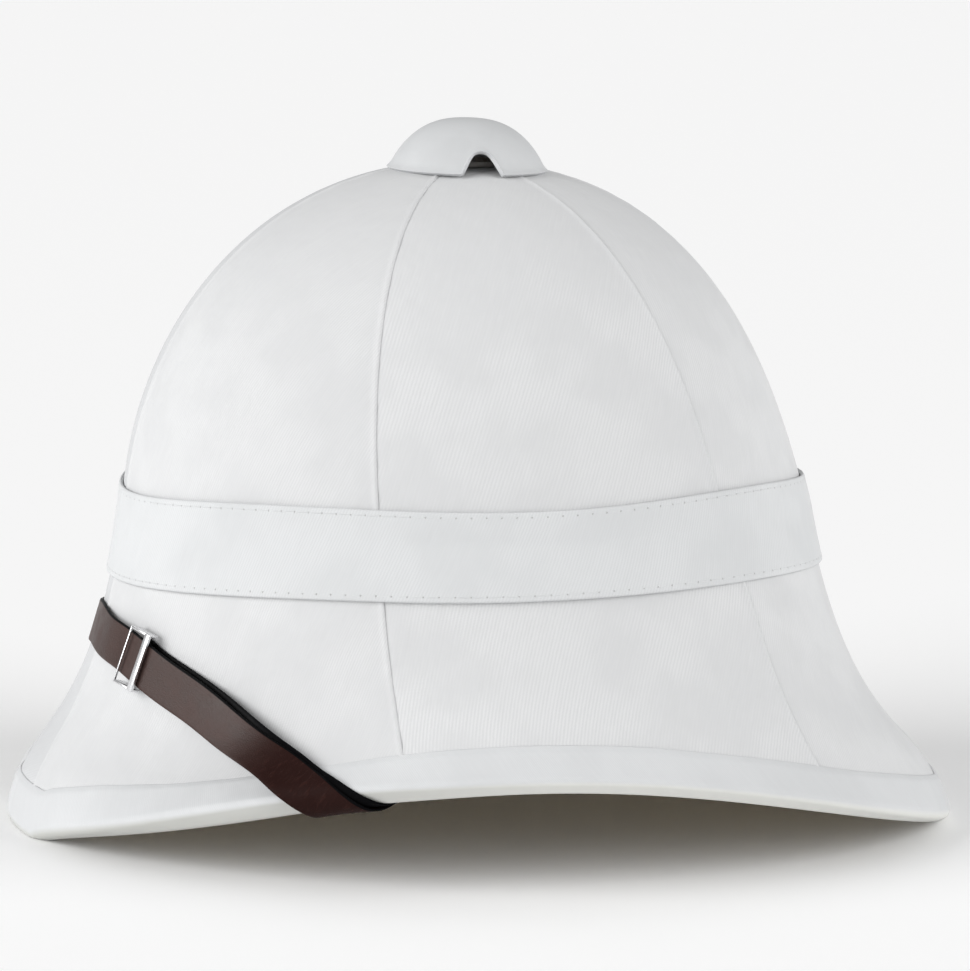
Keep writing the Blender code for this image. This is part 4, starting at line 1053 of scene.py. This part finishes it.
def strap_rows():
    """Sections of the whole strap, from its sewn end on the right to the slider's pin, with the
    share of its bend, which of them are the under layer's, and the slider's place."""
    angle, turn, length = route()
    u = length - length[np.argmin(np.abs(angle - SLIDER_ANGLE))]
    go = headings(angle, turn)
    end_a, end_t, up = angle[-1:], turn[-1:], go[-1:]
    radius = LOOP_LIFT - INNER_LIFT

    def along(a, t, heading, offsets):
        da, dt = in_skin(skin_axes(a, t, 1.0), heading)
        return a + da * offsets, t + dt * offsets, np.repeat(heading, len(offsets), 0)

    def round_bar(lift, r, start, stop, steps):
        tau = np.linspace(start, stop, steps + 1)
        f = np.radians(tau)
        return -r * np.sin(f), lift + r * np.cos(f), tau

    stub = stations(*along(end_a, end_t, up, np.linspace(-STUB, -2.0, 6)), LOOP_LIFT + radius,
                    LEATHER_HALF, 0.0, -1)
    off, lift, tau = round_bar(LOOP_LIFT, radius, 0.0, -180.0, 14)
    loop = (*along(end_a, end_t, up, off), lift, LEATHER_HALF, tau)
    back, out = slice(-2, 0, -1), slice(0, -1)
    far = stations(angle[back], turn[back], go[back], INNER_LIFT, LEATHER_HALF, -180.0, -1)

    rise = smooth_step((length - length[-1] + RISE_OVER) / RISE_OVER)
    lift = eased(BRIDGE, u) + (LOOP_LIFT + radius - OUTER_LIFT) * rise
    shift = layer_shift(UPPER_SHIFT, u, turn)
    near = stations(angle[out], turn[out], go[out], lift[out], LEATHER_HALF, 0.0, 1, shift[out])

    pin = SLIDER_PIN + CLEAR + SKIVED / 2
    keep = u > SKIVE_FROM
    keep[-1] = keep[0] = False
    keep = np.flatnonzero(keep)[::-1]
    thin = 1.0 - smooth_step((u[keep] - SKIVE_FROM) / SKIVE_OVER)
    half = between((LEATHER_HALF, SKIVED / 2), thin)
    lift = between((INNER_LIFT, SLIDER_PIN_LIFT - pin), thin)
    shift = layer_shift(UNDER_SHIFT, u[keep], turn[keep])
    under = stations(angle[keep], turn[keep], go[keep], lift, half, -180.0, 1, shift)
    off, lift, tau = (np.append(x, y) for x, y in
                      zip(round_bar(SLIDER_PIN_LIFT, pin, -180.0, -360.0, 10),
                          (3.5, SLIDER_PIN_LIFT + pin, -360.0)))
    k = int(np.argmin(np.abs(u)))
    slide = angle[k:k + 1], turn[k:k + 1], go[k:k + 1]
    tail = stations(*along(*slide, off), lift, SKIVED / 2, tau, 1, UNDER_SHIFT[0][1])

    # the stretch over the front, from loop to loop, is one; the under layer ends at the pin
    split = far.shape[1]
    front = evened(np.concatenate([far, near], axis=1), np.concatenate([turn[back], turn[out]]))
    under = evened(under, turn[keep])
    front[0], lifted = draw_taut(front[0], front[2])
    raised = float(lifted[split + k].mean())
    under[0], _ = draw_taut(under[0], under[2], last=raised)
    tail[0] += tail[2] * raised
    parts = (stub, stations(*loop, -1), front, stations(*loop, 1), under, tail)
    begun, over = (smooth_step((turn - at) / reach) for at, reach in (BEND_FROM, BEND_TO))
    bend = begun * (1 - over)
    bends = [np.zeros(part.shape[1]) for part in parts]
    bends[2], bends[4] = np.concatenate([bend[back], bend[out]]), bend[keep]
    beneath = [np.full(part.shape[1], n >= 4) for n, part in enumerate(parts)]
    middles, halves, _ = np.concatenate(parts, axis=1)
    rings = np.concatenate([middles + halves, (middles - halves)[:, -2:0:-1]], axis=1)
    return rings, np.concatenate(bends), np.concatenate(beneath), (*slide, raised)


def chin_strap(rings, bends, beneath):
    count = rings.shape[1]
    run = run_along(rings.mean(axis=1))
    across = ROUND_ACROSS * STRAP_HALF + 30.0 * (np.arange(count) >= len(ACROSS))

    def place(i, j):
        return rings[j, i % count]

    def pattern(i, j):
        return np.stack([run[j], across[i % count]], -1)

    def edge(i, j):
        side = ROUND_ACROSS[i % count]
        # black ink on the strap's edges; over most of the under layer's face the black is painted
        # shade
        black_ink_and_shade = side < np.where(beneath[j], 0.2, -0.94)
        return np.where(black_ink_and_shade, 1.0, np.where(side > 0.97, 0.45, 0.0))

    strap = sheet_of("leather_chin_strap", count, len(rings) - 1, place, pattern, (True, False),
                     {"edge": edge, "bend": lambda i, j: bends[j]})
    bm = bmesh.new()
    bm.from_mesh(strap.data)
    holes = [e for e in bm.edges if e.is_boundary]
    bmesh.ops.holes_fill(bm, edges=holes, sides=0)
    bmesh.ops.recalc_face_normals(bm, faces=bm.faces)
    bm.to_mesh(strap.data)
    bm.free()
    strap.data.shade_smooth()
    strap.data.set_sharp_from_angle(angle=math.radians(70.0))
    return strap


# ---- slider
SLIDER_LENGTH, SLIDER_WIDTH, SLIDER_STRIP = 11.0, 21.0, 0.9
SLIDER_FOOT, SLIDER_TOP = 1.6, 6.3
SLIDER_FRONT = 0.6, 5.3, 6.2  # breadth and lifts of its front bar
SLIDER_REAR = 2.5, 5.2, 6.4  # and of the rear bar, which is the broader one
SLIDER_ASKEW = 9.5  # it sits a little turned on the strap
SLIDER_BEVEL = 0.16


def box(bm, x, y, z):
    lows, highs = (Vector(end) for end in zip(sorted(x), sorted(y), z))
    verts = bmesh.ops.create_cube(bm, size=1.0)["verts"]
    bmesh.ops.scale(bm, verts=verts, vec=highs - lows)
    bmesh.ops.translate(bm, verts=verts, vec=(lows + highs) / 2)


def strap_slider(slide):
    """Bent flat strip: two bars on edge over the leather, two side plates, and the pin under it."""
    a, t, go, raised = slide
    points, _, normals = stations(a, t, go, 0.0, 0.0, 0.0, 1)
    middle = Vector(points[0][MIDDLE] + normals[0][MIDDLE] * raised)
    across = Vector(unit(points[0][-1] - points[0][0]))
    along = Vector(go[0])
    along = (along - across * along.dot(across)).normalized()
    c, s = math.cos(math.radians(SLIDER_ASKEW)), math.sin(math.radians(SLIDER_ASKEW))
    along, across = along * c - across * s, across * c + along * s
    normal = across.cross(along)
    u, v, strip = SLIDER_LENGTH / 2, SLIDER_WIDTH / 2, SLIDER_STRIP
    plate = u - strip / 2
    bm = bmesh.new()
    for end, (broad, low, top) in ((-1, SLIDER_FRONT), (1, SLIDER_REAR)):
        box(bm, (end * (u - broad), end * u), (-v, v), (low, top))
        box(bm, (-plate, plate), (end * (v - strip), end * v), (SLIDER_FOOT, SLIDER_TOP))
    bmesh.ops.bevel(bm, geom=bm.edges[:], offset=SLIDER_BEVEL, offset_type="OFFSET", segments=2,
                    profile=0.5, affect="EDGES", material=-1)
    pin = bmesh.ops.create_cone(bm, cap_ends=True, segments=20, radius1=SLIDER_PIN,
                                radius2=SLIDER_PIN, depth=SLIDER_WIDTH - strip)
    for vert in pin["verts"]:
        vert.co = vert.co.x, vert.co.z, vert.co.y + SLIDER_PIN_LIFT
    for vert in bm.verts:
        p = middle + along * vert.co.x + across * vert.co.y + normal * vert.co.z
        vert.co = Vector(in_place(np.array(p)))
    bmesh.ops.recalc_face_normals(bm, faces=bm.faces)
    return show("steel_slider", bm, smooth=40.0)


# ---- studio
CAMERA = dict(azimuth=-14.03, elevation=8.99, roll=1.76, right=9.7, up=-7.6, distance=1500.0,
              target=(-13.1, 0.0, 127.95), focal=4125.0, frame=970.0)
SENSOR = 36.0
FLOOR_HALF, FLOOR_DROP = 30.0, 0.0002  # metres
SUNS = (  # name, direction it comes from, strength, angle
    ("left", (-0.955, -0.245, 0.335), 2.95, 50.0),
    ("right", (0.890, -0.460, 0.345), 2.14, 50.0),
)
SKY = 0.41


def stand_camera():
    a, e, r = (math.radians(CAMERA[k]) for k in ("azimuth", "elevation", "roll"))
    back = Vector((math.sin(a) * math.cos(e), -math.cos(a) * math.cos(e), math.sin(e)))
    right = Vector((math.cos(a), math.sin(a), 0.0))
    up = back.cross(right)
    rolled = right * math.cos(r) + up * math.sin(r)
    upright = up * math.cos(r) - right * math.sin(r)
    spot = (Vector(CAMERA["target"]) + back * CAMERA["distance"] + rolled * CAMERA["right"]
            + upright * CAMERA["up"]) * MM
    lens = bpy.data.cameras.new("camera")
    lens.sensor_width = SENSOR
    lens.lens = SENSOR * CAMERA["focal"] / CAMERA["frame"]
    lens.clip_end = 100.0
    camera = add("camera", lens)
    turn = Matrix((rolled, upright, back)).transposed().to_4x4()
    camera.matrix_world = Matrix.Translation(spot) @ turn
    bpy.context.scene.camera = camera


def studio():
    bm = bmesh.new()
    bmesh.ops.create_grid(bm, x_segments=1, y_segments=1, size=FLOOR_HALF)
    floor = show("floor", bm)
    floor.location.z = -FLOOR_DROP
    pale = Finish("pale_floor", (0.99, 0.99, 0.99), 0.9, Specular_IOR_Level=0.1)
    floor.data.materials.append(pale.material)

    world = bpy.data.worlds.new("studio")
    bpy.context.scene.world = world
    world.use_nodes = True
    sky = world.node_tree.nodes["Background"]
    sky.inputs["Color"].default_value = (1.0, 1.0, 1.0, 1.0)
    sky.inputs["Strength"].default_value = SKY
    for name, direction, strength, angle in SUNS:
        light = bpy.data.lights.new(name, "SUN")
        light.energy = strength
        light.angle = math.radians(angle)
        lamp = add(name, light)
        lamp.rotation_mode = "QUATERNION"
        lamp.rotation_quaternion = Vector(direction).to_track_quat("Z", "Y")
    bpy.context.scene.view_settings.view_transform = "Standard"


# ---- the helmet
def helmet():
    cotton = twill("cotton_twill")
    # a greyer copy of the cotton for the far front gore: painted shade on the side that faces away
    # from the light
    far_gore_shaded_cotton = twill("cotton_twill_crosswise_shaded", tilt=22.0, tone=(0.590, 0.597, 0.604),
                   valley_shade_and_mottle=(0.530, 0.536, 0.543))
    for name, *shape in GORES:
        cloth = far_gore_shaded_cotton if name == "front_right" else cotton
        dress(gore(name, *shape), cloth, "cotton", "cover_" + name)
    dress(pith_body(), pressed_pith(), "pith", "pith_shell")
    cloth = twill("band_twill", relief=0.03, stitched=(-HEM, -BAND_WIDTH + HEM), flecks=False,
                  tone=(0.622, 0.631, 0.637), valley_shade_and_mottle=(0.560, 0.569, 0.575))
    dress(folded_band(), cloth, "band_cotton", "puggaree_band")
    dress(band_stitches(), thread(), "band_cotton")
    # the tape's downward-facing part carries painted shade at the front and painted light towards
    # the back
    tape = twill("binding_tape", tilt=48.0, pitch=0.6, relief=0.015, flecks=False,
                 tone=(0.612, 0.620, 0.627), valley_shade_and_mottle=(0.560, 0.568, 0.575),
                 painted_underside_shade_and_light=((0.500, 0.502, 0.478), (0.700, 0.702, 0.672)))
    dress(bound_edge(), tape, "binding_tape", "rim_binding")
    paint = white_paint("cap_paint", (0.540, 0.549, 0.556), 0.55)
    dress(ventilator_cap(), paint, "cap_white", "vent_cap")
    *strap, slide = strap_rows()
    dress(chin_strap(*strap), strap_leather(), "strap_leather", "chin_strap")
    dress(strap_slider(slide), polished_steel(), "slider_steel", "strap_slider")
    brass = wire_brass()
    # the collar's grey-brown tone is painted shade for the hollow under the cap
    for node, finish in (("vent_collar", white_paint("collar_paint_shaded", (0.42, 0.40, 0.38), 0.6)),
                         ("strap_loop_left", brass), ("strap_loop_right", brass)):
        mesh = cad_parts[node].data
        mesh.materials.clear()
        mesh.materials.append(finish)


helmet()
stand_camera()
studio()
